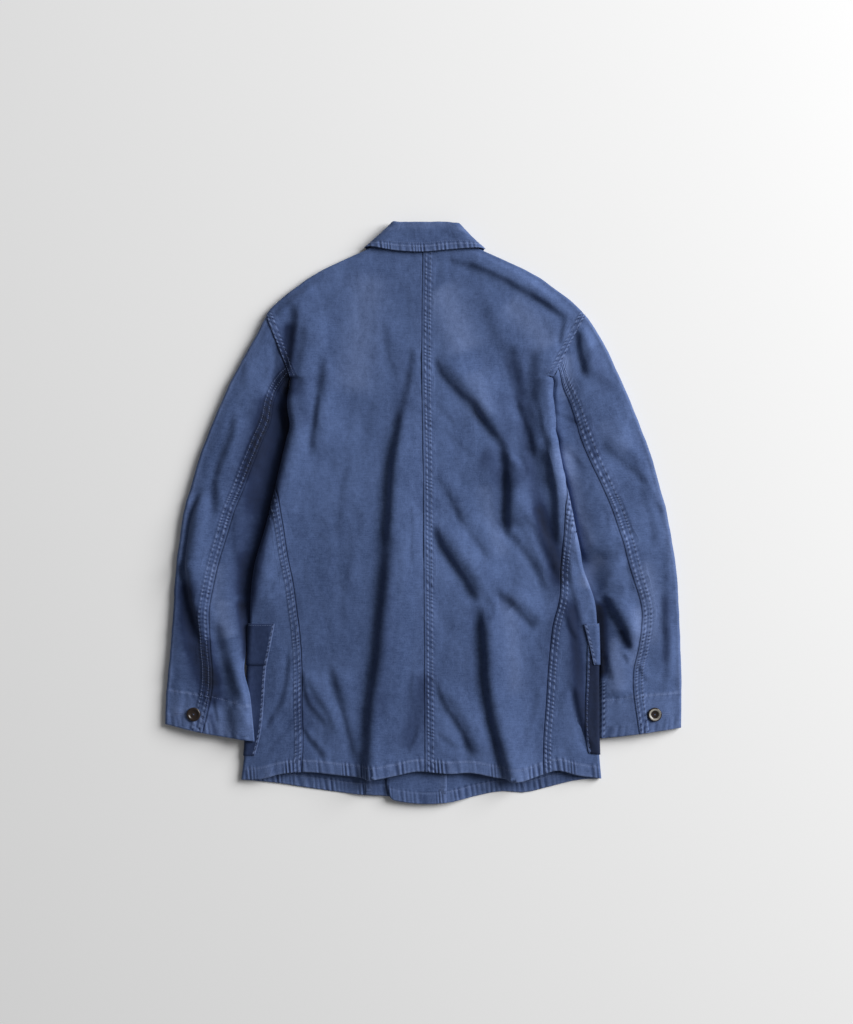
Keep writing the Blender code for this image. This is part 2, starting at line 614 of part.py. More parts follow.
def add_back(side, cloth):
    """One half of the back."""
    rows = SIDE_ROWS + ARMHOLE_ROWS + SHOULDER_ROWS

    def ends_at(row):
        seam = float(centre_x(row)) + SIGN[side] * SEAM_GAP / 2
        return back_start(row, side), float(arc_of_x(seam, row, side))

    points, normals = body_grid(rows, ends_at, 16, side)
    add_sheet(f"back_{side}", points, normals, cloth)


def add_front(side, cloth):
    """One front, with the part that wraps on to the back."""
    rows = SIDE_ROWS + ARMHOLE_ROWS + SHOULDER_ROWS

    def ends_at(row):
        edge = front_edge_x(row, side)
        return -float(arc_of_x(edge, row, side)), front_start(row, side)

    points, normals = body_grid(rows, ends_at, 14, side)
    add_sheet(f"front_{side}", points, normals, cloth)


def add_facing(side, cloth):
    """The strip inside a front's edge."""
    rows = [row for row in SIDE_ROWS + ARMHOLE_ROWS if row <= FACING_TOP_ROW][::2]
    inner = FACING_INNER_X[side]

    def ends_at(row):
        edge = front_edge_x(row, side)
        edge_arc, inner_arc = arc_of_x(edge, row, side), arc_of_x(inner, row, side)
        return -float(edge_arc) + 0.6, -float(inner_arc)

    points, normals = body_grid(rows, ends_at, 4, side)
    add_sheet(f"facing_{side}", points, normals, cloth, lift=-WALL - LAYER_GAP)


def add_pocket(side, cloth):
    """A hip pocket that wraps round the side."""
    rear = curve_through(POCKET_REAR, 1 if side == "left" else 2)
    points, normals = body_grid(
        POCKET_ROWS, lambda row: (POCKET_FRONT_ARC, float(rear(row))), 13, side)
    add_sheet(f"pocket_{side}", points, normals, cloth, lift=LAYER_GAP + WALL)


def add_flap(side, cloth):
    """The flap over the pocket's mouth."""
    rear = lines_through(FLAP_REAR[side])
    points, normals = body_grid(
        FLAP_ROWS, lambda row: (POCKET_FRONT_ARC - 1.5, float(rear(row))), 13, side)
    add_sheet(f"flap_{side}", points, normals, cloth, lift=2.0 * (LAYER_GAP + WALL))


# ---------------------------------------------------------------- sleeves

def sleeve_frame(place, side):
    """The values of a sleeve's table at a place along it, from 0 at the armhole."""
    table = np.array(SLEEVE[side], dtype=float)
    keyed = np.column_stack([np.arange(len(table)), table])
    values = curve_through(keyed)(place)
    outer_x, outer_y, inner_y, inside = (values[..., index] for index in range(4))
    inner_x = side_x[side](np.minimum(inner_y, UNDERARM_ROW - 1.0)) - SIGN[side] * inside
    return outer_x, outer_y, inner_x, inner_y, values[..., 4:]


def sleeve_point(turn, place, side):
    """A point of a sleeve's outer face. The turn is 0 at the outer edge, 1 at the inner edge over the
    top, and 2 at the outer edge again after the lower layer."""
    turn, place = np.broadcast_arrays(np.asarray(turn, dtype=float), np.asarray(place, dtype=float))
    outer_x, outer_y, inner_x, inner_y, rest = sleeve_frame(place, side)
    outer_radius, inner_radius = rest[..., 1], rest[..., 2]
    inner_centre, lift = rest[..., 3], rest[..., 4]
    width = np.hypot(inner_x - outer_x, inner_y - outer_y)
    quarter_outer, quarter_inner = outer_radius * math.pi / 2, inner_radius * math.pi / 2
    length = width - outer_radius - inner_radius + quarter_outer + quarter_inner
    below = (turn < 0.0) | (turn > 1.0)
    over = np.where(turn > 1.0, 2.0 - turn, np.abs(turn))
    arc = over * length
    outer_turn = np.clip(arc / outer_radius, 0.0, math.pi / 2)
    inner_turn = np.clip((length - arc) / inner_radius, 0.0, math.pi / 2)
    flat = np.clip(arc - quarter_outer, 0.0, length - quarter_outer - quarter_inner)
    flat_length = length - quarter_outer - quarter_inner
    across = outer_radius * (1.0 - np.cos(outer_turn)) + flat + inner_radius * np.cos(inner_turn)
    share = across / width
    x = outer_x + (inner_x - outer_x) * share
    y = outer_y + (inner_y - outer_y) * share
    updown = np.where(below, -1.0, 1.0)
    outer_z = outer_radius * (1.0 + updown * np.sin(outer_turn))
    inner_z = inner_centre + updown * inner_radius * np.sin(inner_turn)
    beyond_body = SIGN[side] * (x - side_x[side](np.minimum(y, UNDERARM_ROW - 1.0)))
    lifted = lift * smoothstep(1.0 - (beyond_body - 3.0) / LIFT_BLEND)
    at_head = smoothstep(1.0 - place / HEAD_PLACES)
    at_wrist = smoothstep(place - WRIST_PLACE)
    usual, head, wrist = INNER_BLEND
    inner_blend = usual + (head - usual) * at_head + (wrist - usual) * at_wrist
    inner_blend = np.where(below, INNER_BLEND_BELOW, inner_blend)
    outer_blend = OUTER_BLEND[0] + (OUTER_BLEND[1] - OUTER_BLEND[0]) * at_head
    middle = np.where(below, lifted, upper_height(x, y) + SLEEVE_LIFT_ABOVE * lifted)
    from_outer = smoothstep(flat / outer_blend)
    from_inner = smoothstep((flat_length - flat) / inner_blend)
    z = outer_z + (middle - outer_z) * from_outer
    z = inner_z + (z - inner_z) * from_inner
    return np.stack([x, y, z], axis=-1)


def sleeve_grid(turn_ends, count, side):
    """Points and normals between two turns, each a function of the place."""
    places = np.array(SLEEVE_RINGS, dtype=float)
    turns = []
    for place in places:
        _, _, _, _, rest = sleeve_frame(place, side)
        start, end = turn_ends(place)
        fine = np.linspace(start, end, 301)
        density = np.ones_like(fine)
        for centre, radius in ((0.0, rest[1]), (1.0, rest[2])):
            reach = radius * math.pi / 2 / SLEEVE_WIDTH
            density += np.where(np.abs(fine - centre) < reach, SLEEVE_TIGHT / reach, 0.0)
        walked = np.concatenate(([0.0], np.cumsum((density[1:] + density[:-1]) / 2.0)))
        turns.append(np.interp(np.linspace(0.0, walked[-1], count + 1), walked, fine))
    turns = np.array(turns)
    place_grid = np.broadcast_to(places[:, None], turns.shape)
    before, after = turns - TURN_STEP, turns + TURN_STEP
    along_turn = sleeve_point(after, place_grid, side) - sleeve_point(before, place_grid, side)
    before = np.clip(place_grid - PLACE_STEP, places[0], places[-1])
    after = np.clip(place_grid + PLACE_STEP, places[0], places[-1])
    along_place = sleeve_point(turns, after, side) - sleeve_point(turns, before, side)
    normals = np.cross(along_turn, along_place) * SIGN[side]
    normals /= np.linalg.norm(normals, axis=-1, keepdims=True)
    return sleeve_point(turns, place_grid, side), normals


def add_sleeve(side, cloth):
    """The top sleeve and the under sleeve."""
    table = np.array(SLEEVE[side], dtype=float)
    seam = curve_through(np.column_stack([np.arange(len(table)), table[:, 4]]), 1)
    gap = SEAM_GAP / 2 / SLEEVE_WIDTH
    top = lambda place: (FOREARM_SEAM + gap, float(seam(place)) - gap)
    under = lambda place: (float(seam(place)) + gap, 2.0 + FOREARM_SEAM - gap)
    for name, ends, count in (("top", top, 13), ("under", under, 13)):
        points, normals = sleeve_grid(ends, count, side)
        add_sheet(f"sleeve_{name}_{side}", points, normals, cloth)


# ---------------------------------------------------------------- collar and buttons

def add_collar(cloth):
    """Stand and fall in one piece, folded over at the roll."""
    table = np.array(COLLAR, dtype=float)
    keyed = np.column_stack([np.arange(len(table)), table])
    places = np.linspace(0.0, len(table) - 1.0, (len(table) - 1) * COLLAR_STEPS + 1)
    values = curve_through(keyed)(places)
    sections = []
    for row in values:
        neck, roll, edge = row[0:3], row[3:6], row[6:9]
        tilt, half_fold = math.radians(row[9]), row[10]
        out_x, out_y = COLLAR_OUTWARD["left" if neck[0] < 1.0 else "right"]
        outward = np.array([out_x * math.sin(tilt), out_y * math.sin(tilt), math.cos(tilt)])
        upward = roll - neck
        upward -= outward * np.dot(upward, outward)
        upward /= np.linalg.norm(upward)
        turn_start = roll - upward * half_fold
        hub = turn_start + outward * half_fold
        section = [neck, neck + (turn_start - neck) * 0.5, turn_start]
        for angle in np.radians((-54, -18, 18, 54)):
            section.append(hub + half_fold * (upward * math.cos(angle) + outward * math.sin(angle)))
        fall_start = hub + outward * half_fold
        for share in (0.0, 0.33, 0.67, 1.0):
            section.append(fall_start + (edge - fall_start) * share)
        sections.append(section)
    outer = np.array(sections)
    along_collar = np.gradient(outer, axis=0)
    along_section = np.gradient(outer, axis=1)
    normals = np.cross(along_section, along_collar)
    normals /= np.linalg.norm(normals, axis=-1, keepdims=True)
    if normals[len(normals) // 2, -1, 2] < 0.0:
        normals = -normals
    add_sheet("collar", outer, normals, cloth)


def add_buttons(material):
    """Front buttons under the fronts, and one on each cuff."""
    for number, row in enumerate(FRONT_BUTTON_ROWS, start=1):
        x = (front_edge_x(row, "left") + front_edge_x(row, "right")) / 2.0
        add_button(f"button_front_{number}", (x, row, BUTTON_THICKNESS), (0.0, 0.0, -1.0), material)
    for side, (x, y) in CUFF_BUTTON.items():
        step = 4.0
        slope_x = (upper_height(x + step, y) - upper_height(x - step, y)) / (2.0 * step)
        slope_y = (upper_height(x, y + step) - upper_height(x, y - step)) / (2.0 * step)
        normal = np.array([-slope_x, -slope_y, 1.0])
        normal /= np.linalg.norm(normal)
        centre = np.array([x, y, upper_height(x, y)]) + normal * LAYER_GAP
        add_button(f"button_cuff_{side}", centre, normal, material)


def main():
    for thing in list(bpy.data.objects):
        bpy.data.objects.remove(thing, do_unlink=True)
    cloth = new_material("cloth", CLOTH_COLOUR, 0.85)
    button = new_material("button", BUTTON_COLOUR, 0.35)
    for side in ("left", "right"):
        add_back(side, cloth)
        add_front(side, cloth)
        add_facing(side, cloth)
        add_pocket(side, cloth)
        add_flap(side, cloth)
        add_sleeve(side, cloth)
    add_collar(cloth)
    add_buttons(button)


main()
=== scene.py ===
"""Chore jacket laid flat on its front: the detailed cloth, stitches, buttons, light and camera.

The tables in millimetres and the functions that place the body and the sleeves are those of the part's
source, so that each shell lies where its solid does, apart from the shifts in SLEEVE_NUDGE, SIDE_NUDGE,
SLEEVE_TRIM and CUFF_LIFT. Fine relief, seams, hems and stitches are added along the surface's normal.
"""
import json
import math

import bmesh
import bpy
import numpy as np
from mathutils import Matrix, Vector

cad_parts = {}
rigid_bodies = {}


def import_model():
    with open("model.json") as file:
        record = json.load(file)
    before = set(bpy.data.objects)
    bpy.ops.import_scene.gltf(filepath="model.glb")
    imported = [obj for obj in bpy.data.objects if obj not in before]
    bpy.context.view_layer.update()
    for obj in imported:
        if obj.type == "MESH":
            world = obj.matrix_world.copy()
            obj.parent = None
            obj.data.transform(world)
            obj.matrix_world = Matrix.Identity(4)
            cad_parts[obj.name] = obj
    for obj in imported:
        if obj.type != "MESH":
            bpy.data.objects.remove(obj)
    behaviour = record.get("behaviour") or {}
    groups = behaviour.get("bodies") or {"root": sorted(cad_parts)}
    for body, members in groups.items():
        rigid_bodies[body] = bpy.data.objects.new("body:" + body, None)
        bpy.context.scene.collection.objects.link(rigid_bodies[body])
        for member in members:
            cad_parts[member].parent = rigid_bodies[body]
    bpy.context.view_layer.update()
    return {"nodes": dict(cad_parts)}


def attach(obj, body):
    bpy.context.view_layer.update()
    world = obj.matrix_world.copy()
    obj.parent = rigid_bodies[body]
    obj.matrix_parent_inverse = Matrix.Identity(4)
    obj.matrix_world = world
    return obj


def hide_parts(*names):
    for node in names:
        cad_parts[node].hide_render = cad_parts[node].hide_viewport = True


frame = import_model()

MM = 0.001

# Cloth and seams
WALL = 1.2              # cotton twill with its turnings
SEAM_GAP = 0.34         # between two pieces at a seam
ARMHOLE_GAP = 1.2       # at the armhole, where the rims tilt
LAYER_GAP = 0.34        # between a panel and what lies on it
RIM_OVER = 0.05         # how far a rim goes past the turn of a fold
NORMAL_STEP = 0.4       # half step of the differences that give a surface's normal

# Rows of the body, from the hem to the neck. Between the underarm and the shoulder tip the cloth ends at
# the armhole, and elsewhere it wraps round an edge.
HEM_ROW = -366.0
HEM_BLEND = 150.0
UNDERARM_ROW = 189.0
SHOULDER_ROW = 276.0
NECK_ROW = 375.0

# Side edges of the body: row, left x, right x
SIDE_EDGE = (
    (-372, -253.5, 252.5),
    (-329, -248.0, 249.0),
    (-270, -245.5, 248.5),
    (-215, -243.0, 247.6),
    (-160, -240.4, 246.0),
    (-126, -239.2, 243.0),
    (-77, -234.0, 226.5),
    (-21, -218.0, 214.5),
    (29, -205.0, 206.0),
    (67, -197.0, 198.5),
    (102, -189.0, 194.5),
    (122, -183.5, 192.0),
    (150, -187.0, 189.0),
    (188, -183.5, 182.0),
)
# Shoulder edges: row, left x, right x
SHOULDER_EDGE = (
    (276, -218.0, 229.0),
    (281, -215.5, 225.5),
    (298, -199.0, 208.0),
    (316, -176.0, 184.0),
    (334, -149.5, 157.0),
    (350, -108.5, 114.5),
    (364, -70.0, 76.0),
    (375, -51.0, 55.0),
)
# Armhole seams as straight lines from the shoulder tip to the underarm
ARMHOLE = {
    "left": ((-219.4, 277.5), (-185.5, 190.5)),
    "right": ((231.0, 277.5), (184.0, 187.5)),
}
# Fold at the body's edges: row, radius, height of its centre
EDGE_FOLD = (
    (-372, 3.5, 3.6),
    (-335, 3.6, 5.3),
    (-225, 3.6, 5.4),
    (-210, 3.5, 6.9),
    (-158, 3.6, 6.9),
    (-120, 5.0, 7.2),
    (-60, 6.0, 8.5),
    (0, 6.5, 9.5),
    (188, 6.5, 9.5),
    (276, 5.5, 5.8),
    (316, 5.0, 5.6),
    (375, 4.2, 7.2),
)
# Distance over which a layer goes from its edge's height to its own: row, upper, lower. Between the
# ends of an armhole there is no edge, so the rest is given by a share: row, share
EDGE_BLEND = ((150, 38.0, 26.0), (189, 14.0, 14.0), (276, 14.0, 14.0), (292, 22.0, 26.0))
ARMHOLE_SHARE = ((189, 0.0), (206, 1.0), (262, 1.0), (276, 0.0))
# Side seam, where the front wraps on to the back: row, arc from the left edge, arc from the right edge
SIDE_SEAM = (
    (-372, 87.0, 84.0),
    (-275, 80.5, 77.0),
    (-209, 77.0, 71.5),
    (-156, 70.5, 64.0),
    (-90, 58.0, 40.0),
    (-27, 31.0, 20.0),
    (18, 12.0, 8.5),
    (45, 2.5, 2.0),
    (80, -3.0, -3.0),
    (188, -4.0, -4.0),
)
SHOULDER_SEAM_ARC = -1.0
# Centre-back seam: row, x
CENTRE_SEAM = ((-366, 4.6), (-110, 2.6), (25, 1.5), (277, 0.0), (375, 1.5))

# Lower edge of the back, measured at its own x: x, y
BACK_HEM = (
    (-254, -373.5), (-225, -372.0), (-198, -365.0), (-166, -362.0), (-106, -367.0), (-66, -370.5),
    (-35, -365.5), (-12, -361.0), (41, -364.0), (67, -362.8), (109, -370.4), (137, -374.0),
    (169, -365.3), (187, -360.2), (219, -366.8), (253, -372.0),
)
# Lower edge of each front: x, y
FRONT_HEM = {
    "left": (
        (-254, -373.5), (-203, -378.0), (-159, -385.0), (-124, -390.0), (-92, -394.0),
        (-44, -397.0), (-30, -399.0), (5, -402.0),
    ),
    "right": (
        (-50, -399.0), (-38, -402.5), (-19, -405.9), (15, -407.4), (36, -405.9), (75, -397.0), (112, -390.0),
        (145, -391.6), (180, -383.2), (221, -373.5), (253, -372.0),
    ),
}
FRONT_CORNER_RADIUS = 22.0      # the right front's lower corner is rounded
FRONT_CORNER_INSET = 12.0

# Front edges at the neck and at the hem
FRONT_EDGE = {"left": (22.0, 4.0), "right": (-22.0, -50.0)}
NECK_OPEN_ROW = 301.0           # where the front edge ends and the neckline starts
NECKLINE_TOP = 387.0
NECK_HALF_WIDTH = {"left": 44.6, "right": 48.8}
NECK_RISE = 12.0                # the neckline climbs from the centre back to the shoulder
NECK_RISE_HALF_WIDTH = 50.0
NECK_RISE_START = 334.0
FACING_INNER_X = {"left": -78.0, "right": 35.0}
FACING_TOP_ROW = 258.0

# Height of the upper layer: row, height of its outer face
UPPER_BASE = ((-400, 11.6), (-300, 12.0), (-100, 13.0), (200, 13.0), (300, 12.8), (410, 12.8))
# Height that holds the fronts off the surface: buttons, collar, pockets and flaps lie below them
PLACKET_RISE = 3.3
PLACKET_ZONE = (-80.0, 42.0, -420.0, 300.0)
COLLAR_RISE = 2.2
COLLAR_ZONE = (-96.0, 104.0, 262.0, 420.0)
POCKET_RISE = 1.64
FLAP_RISE = 3.15
POCKET_ZONE = (92.0, 300.0, -367.0, -150.0)     # distance from the middle, then y
FLAP_ZONE = (92.0, 300.0, -218.0, -150.0)
POCKET_BLEND = 22.0
RISE_BLEND = 34.0
OVERLAP_RISE = 3.1              # right front over the left front and its facing
OVERLAP_X = 42.0

# Hip pockets on the fronts: row, arc of the rear edge from the left edge, from the right edge
POCKET_REAR = ((-333, 17.0, 17.0), (-311, 22.0, 20.5), (-212, 28.0, 17.5), (-164, 33.0, 16.0))
POCKET_ROWS = (-333, -305, -274, -243, -212, -188, -164)
FLAP_REAR = {"left": ((-212, 28.5), (-155, 37.0)), "right": ((-212, 8.5), (-155, 21.0))}
FLAP_ROWS = (-212, -188, -164, -155)
POCKET_FRONT_ARC = -150.0

# Main folds of the upper layer. A fold is a ridge along a line from its upper to its lower end. Its
# reach is to the left and to the right of the line: the short reach is its steep side.
FOLDS = (
    # height, left reach, right reach, points
    (9.0, 15.0, 36.0, ((-8, 185), (-24, 102), (-33, 18), (-41, -108), (-50, -192), (-61, -276), (-68, -365))),
    (8.0, 12.0, 26.0, ((28, 222), (68, 175), (99, 137), (120, 99))),
    (8.0, 12.0, 22.0, ((134, 78), (135, 32), (130, -22))),
    (4.0, 12.0, 26.0, ((-126, 210), (-133, 144), (-143, 76))),
    (6.5, 12.0, 26.0, ((-160, 290), (-156, 249), (-163, 214), (-172, 179), (-174, 120))),
    (4.0, 9.0, 16.0, ((50, 362), (103, 337), (152, 316), (198, 289))),
    (5.0, 10.0, 9.0, ((152, 162), (159, 116), (170, 81), (179, 40))),
    (4.0, 9.0, 13.0, ((130, 24), (141, -3), (160, -45), (182, -96))),
    (7.0, 11.0, 26.0, ((30, -16), (57, -55), (79, -87), (94, -116))),
    (7.5, 11.0, 30.0, ((99, -112), (97, -178), (100, -234), (110, -283), (128, -365))),
    (4.0, 8.0, 15.0, ((120, -108), (148, -129), (177, -156))),
    (4.5, 9.0, 18.0, ((32, -242), (54, -269), (71, -301), (87, -345))),
    (2.5, 8.0, 15.0, ((40, 48), (62, 4), (90, -38), (111, -68))),
    (3.0, 7.0, 11.0, ((-160, -220), (-145, -251), (-125, -279), (-111, -316))),
    (3.0, 8.0, 17.0, ((-117, -214), (-101, -262), (-90, -311), (-85, -350))),
    (5.0, 12.0, 18.0, ((-148, 320), (-190, 300), (-212, 285))),
    # left sleeve
    (3.5, 8.0, 16.0, ((-253, 146), (-262, 102), (-276, 67), (-281, 32), (-281, -14))),
    (8.0, 12.0, 21.0, ((-303, 28), (-311, -24), (-316, -73), (-310, -122), (-298, -176))),
    (6.0, 16.0, 10.0, ((-270, -96), (-265, -122), (-254, -192), (-245, -252))),
    # right sleeve
    (5.0, 8.0, 18.0, ((229, 262), (236, 228), (240, 190))),
    (4.0, 9.0, 17.0, ((250, 116), (281, 94), (306, 78), (324, 49), (333, 0))),
    (3.0, 10.0, 10.0, ((350, -34), (354, -122), (354, -250))),
    (5.0, 21.0, 10.0, ((291, -28), (264, -69), (241, -107))),
    (8.0, 12.0, 15.0, ((264, -114), (286, -144), (305, -182))),
)
FOLD_TAPER = 0.22               # share of a fold's length over which it rises at each end

# Sleeves, from the armhole to the wrist: outer x and y, inner y, inner edge's distance inside the
# body's edge (negative outside), elbow seam (share of the way over the top), outer fold radius, inner
# fold radius, height of the inner fold's centre, lift where the wrist lies on the body
SLEEVE = {
    "left": (
        (-219.4, 277.5, 190.5, -1.6, 0.94, 5.5, 6.2, 9.0, 0.0),
        (-251, 224, 172, -1.0, 0.83, 5.5, 2.6, 3.2, 0.0),
        (-281, 170, 147, 2.0, 0.762, 5.5, 1.6, 1.8, 0.0),
        (-313, 90, 77, 2.0, 0.685, 5.5, 1.6, 1.8, 0.0),
        (-327, 39, 32, 2.0, 0.632, 5.5, 1.6, 1.8, 0.0),
        (-337, 6, -3, 2.0, 0.597, 5.5, 1.6, 1.8, 0.0),
        (-344, -44, -49, 2.0, 0.568, 5.5, 1.6, 1.8, 0.0),
        (-350, -93, -96, 1.6, 0.536, 5.5, 1.6, 1.8, 0.0),
        (-354.5, -143, -134, -1.0, 0.518, 5.5, 1.6, 2.0, 0.0),
        (-358, -185, -186, -4.4, 0.56, 5.0, 2.0, 6.5, 4.0),
        (-360.5, -218, -222, -4.0, 0.60, 5.0, 2.0, 12.9, 10.5),
        (-362.3, -251, -258, 6.0, 0.555, 4.6, 2.0, 13.6, 11.4),
        (-364.45, -301, -319, 14.0, 0.447, 4.2, 2.0, 13.6, 11.4),
    ),
    "right": (
        (231.0, 277.5, 187.5, -1.6, 0.815, 5.5, 6.2, 9.0, 0.0),
        (251, 245, 166, -1.0, 0.83, 5.5, 2.6, 3.2, 0.0),
        (286, 178, 141, 2.0, 0.78, 5.5, 1.6, 1.8, 0.0),
        (313, 109, 95, 2.0, 0.73, 5.5, 1.6, 1.8, 0.0),
        (333, 39, 32, 2.0, 0.62, 5.5, 1.6, 1.8, 0.0),
        (343, 2, -3, 2.0, 0.567, 5.5, 1.6, 1.8, 0.0),
        (351.5, -44, -49, 2.0, 0.523, 5.5, 1.6, 1.8, 0.0),
        (358, -93, -97, 1.6, 0.495, 5.5, 1.6, 1.8, 0.0),
        (361.5, -143, -134, -1.0, 0.47, 5.5, 2.0, 2.4, 0.0),
        (363, -185, -186, -4.4, 0.532, 5.0, 3.6, 4.0, 0.0),
        (363.6, -217, -221, -4.2, 0.597, 5.0, 4.6, 5.0, 0.0),
        (364.2, -251, -258, -3.0, 0.595, 4.6, 4.6, 5.0, 0.0),
        (364.2, -302, -315.5, -2.8, 0.532, 4.2, 4.2, 4.6, 0.0),
    ),
}
SLEEVE_WIDTH = 93.0             # across the flattened tube, for gaps and the spread of columns
FOREARM_SEAM = -0.45            # hidden seam under the sleeve, as a share of its width
LIFT_BLEND = 30.0
SLEEVE_LIFT_ABOVE = 0.6        # share of the lift that reaches the upper layer
# Distance over which a sleeve's layers leave the height of its folds: usual, at the head, at the wrist
OUTER_BLEND = (22.0, 14.0)
INNER_BLEND = (46.0, 14.0, 24.0)
INNER_BLEND_BELOW = 22.0
HEAD_PLACES = 1.5
WRIST_PLACE = 9.0
TURN_STEP = 0.004
PLACE_STEP = 0.02

# Collar: places along it from one front end round the back to the other. neck is where its stand is
# sewn on, roll its fold, edge the free edge of its fall. outward turns from up (0) to down (180).
COLLAR = (
    # neck x, y, z,        roll x, y, z,         edge x, y, z,         outward, half fold
    (-3.0, 302.8, 4.6, -3.0, 326.0, 4.5, -45.0, 268.0, 0.5, 180, 2.0),
    (-25.0, 318.6, 4.6, -19.0, 341.0, 4.5, -66.0, 292.0, 0.5, 180, 2.0),
    (-38.4, 350.0, 4.6, -26.0, 372.0, 4.6, -76.0, 338.0, 0.5, 180, 2.0),
    (-43.2, 387.4, 4.6, -32.0, 402.5, 4.8, -77.5, 369.0, 0.6, 170, 2.1),
    (-55.0, 390.2, 7.4, -35.0, 404.0, 9.0, -79.4, 372.0, 8.7, 90, 2.8),
    (-45.0, 386.2, 11.6, -33.0, 406.1, 12.0, -68.0, 372.4, 16.6, 15, 3.0),
    (-28.0, 379.4, 11.9, -25.0, 406.8, 12.2, -36.0, 367.0, 17.3, 0, 3.0),
    (1.5, 375.9, 12.0, 1.5, 406.6, 12.4, 1.5, 365.2, 17.5, 0, 3.0),
    (30.0, 379.8, 11.9, 33.5, 407.2, 12.2, 37.0, 368.2, 17.3, 0, 3.0),
    (48.0, 386.4, 11.6, 45.0, 404.8, 12.0, 76.0, 371.0, 16.6, 15, 3.0),
    (60.0, 390.2, 7.4, 48.0, 401.8, 9.0, 88.6, 370.0, 8.6, 90, 2.8),
    (47.4, 387.4, 6.4, 42.5, 399.0, 6.4, 86.5, 367.0, 0.8, 170, 2.8),
    (42.4, 350.0, 7.6, 32.0, 372.0, 7.6, 82.0, 336.0, 0.5, 180, 3.5),
    (28.5, 318.6, 7.7, 23.0, 341.0, 7.6, 71.0, 292.0, 0.5, 180, 3.5),
    (4.0, 302.8, 7.7, 4.0, 326.0, 7.6, 46.0, 268.0, 0.5, 180, 3.5),
)
COLLAR_OUTWARD = {"left": (-0.64, 0.77), "right": (0.70, 0.71)}

# Buttons
BUTTON_RADIUS = 9.8
BUTTON_THICKNESS = 2.9
FRONT_BUTTON_ROWS = (284.0, 170.0, 56.0, -58.0, -172.0)
CUFF_BUTTON = {"left": (-318.5, -281.4), "right": (326.0, -281.7)}
CUFF_PAD_REACH = 26.0           # the cloth under a cuff button is smooth


# Fine relief in millimetres
SEAM_BAND = 0.40            # a lapped seam stands above the cloth beside it
SEAM_GROOVE = 0.45
SEAM_PULL = 0.22            # stitches pull the cloth in
SEAM_PUCKER = 0.12
SEAM_PITCH = 6.7
SEAM_SKEW = 0.45
ROW_SPACING = 6.3           # between the two stitch rows of a seam
LIGHT_RISE, DARK_DEEP = 0.10, 0.22
HEM_BAND = 0.45
HEM_PUCKER = 0.42
HEM_PITCH = 7.4
HEM_SKEW = 0.12
HEM_DEPTH = 16.0
HEM_STITCH_INSET = 1.6      # from a hem's turned edge to its stitches
CUFF_DEPTH = 50.0
WASH_WIDE, WASH_SMALL, WASH_FINE = 1.05, 0.50, 0.16
RIM_ROUND = 0.42
RIM_WEAR = 0.35
EDGE_WEAR = 0.34
SIDE_WEAR = 0.06

# Stitch rows: distance from the seam's edge to the first and to the second
CENTRE_STITCHES = (5.2, 11.8)
SIDE_STITCHES = (3.2, 9.4)
ELBOW_STITCHES = (3.6, 10.0)
ARMHOLE_STITCHES = (2.4, 8.2)
STITCH_PITCH = 3.35
STITCH_LENGTH = 2.5
STITCH_RADIUS = 0.22
STITCH_RISE = 0.05
SLEEVE_STATION = 51.0       # usual distance between two places of a sleeve

ARMHOLE_LEAN = 0.94         # the armhole seam leans, so a distance along X is longer
VENT_PLACE = 10.8
VENT_RISE = 0.7
CUFF_PUCKERS = 0.5

ROWS = (
    # first row, last row, step
    (-366.0, -340.0, 2.0),
    (-340.0, 188.2, 3.0),
    (189.6, 275.4, 3.0),
    (276.6, 338.0, 2.6),
    (338.0, 375.1, 1.5),
)
KNOT_INSET = 24.0           # where the columns that follow the edge end

# Colours, linear
CLOTH_DEEP = (0.024, 0.045, 0.118, 1.0)
CLOTH_PALE = (0.094, 0.148, 0.318, 1.0)
# Colour of faded, rubbed cloth, also used for painted highlights
CLOTH_WORN_AND_HIGHLIGHT = (0.165, 0.226, 0.420, 1.0)
THREAD = (0.078, 0.112, 0.210, 1.0)
TONE_MIDDLE = 0.47
# Noise of the dye: scale across, scale along, detail, roughness, gain
PATCHES = (9.0, 7.0, 3.0, 0.55, 0.95)
BLOTCHES = (46.0, 30.0, 3.0, 0.60, 0.60)
MOTTLE = (190.0, 140.0, 2.0, 0.60, 0.56)
GRAIN = (620.0, 460.0, 1.0, 0.50, 0.50)
SLUBS = (70.0, 900.0, 2.0, 0.60, 0.60)
YARNS = (1400.0, 260.0, 1.0, 0.50, 1.00)
GRAIN_RISE, BLOTCH_RISE = 0.22, 0.28
HEM_WEAR, BETWEEN_WEAR = 0.20, 0.10
# Lines along a seam: place (0 at the first stitch row, 1 at the last), width, strength, share in dots.
# Tuned against the mean brightness across the centre seam of the photo, which a separate script printed
SEAM_LIGHT = ((0.09, 0.13, 1.10, 0.9), (1.05, 0.13, 0.90, 0.9))
# The dark lines are painted shade in the seam's grooves and needle holes
SEAM_PAINTED_SHADE = ((-0.34, 0.14, 0.50, 0.3), (-0.03, 0.17, 1.30, 1.0), (0.46, 0.18, 0.62, 0.2),
             (0.98, 0.17, 1.15, 1.0), (1.38, 0.15, 0.42, 0.4), (0.50, 0.75, 0.10, 0.0))
# Painted shade in the troughs of the hem's puckers and of the puckers between stitch rows
HEM_SHADE, BETWEEN_SHADE = 0.70, 0.16
BUTTON_DARK = (0.016, 0.011, 0.009, 1.0)
# Colour of the painted highlight on the right cuff button's lip
BUTTON_HIGHLIGHT_BASE = (0.210, 0.195, 0.170, 1.0)
FLOOR = (0.845, 0.845, 0.845, 1.0)
BUTTON_BROWN = (0.026, 0.015, 0.011, 1.0)
# Paler streaks of the painted highlight on the right cuff button
BUTTON_HIGHLIGHT_STREAK = (0.55, 0.52, 0.46, 1.0)
WALE_PITCH = 1.15
WALE_RISE = 0.05
WALE_SLANT, WALE_UNEVEN, WALE_TONE = -0.55, 2.2, 0.08
CRINKLE_SHARPNESS = -11.0
CLOTH_ROUGHNESS, CLOTH_SPECULAR, CLOTH_SHEEN, SHEEN_ROUGHNESS = 0.85, 0.25, 0.12, 0.5

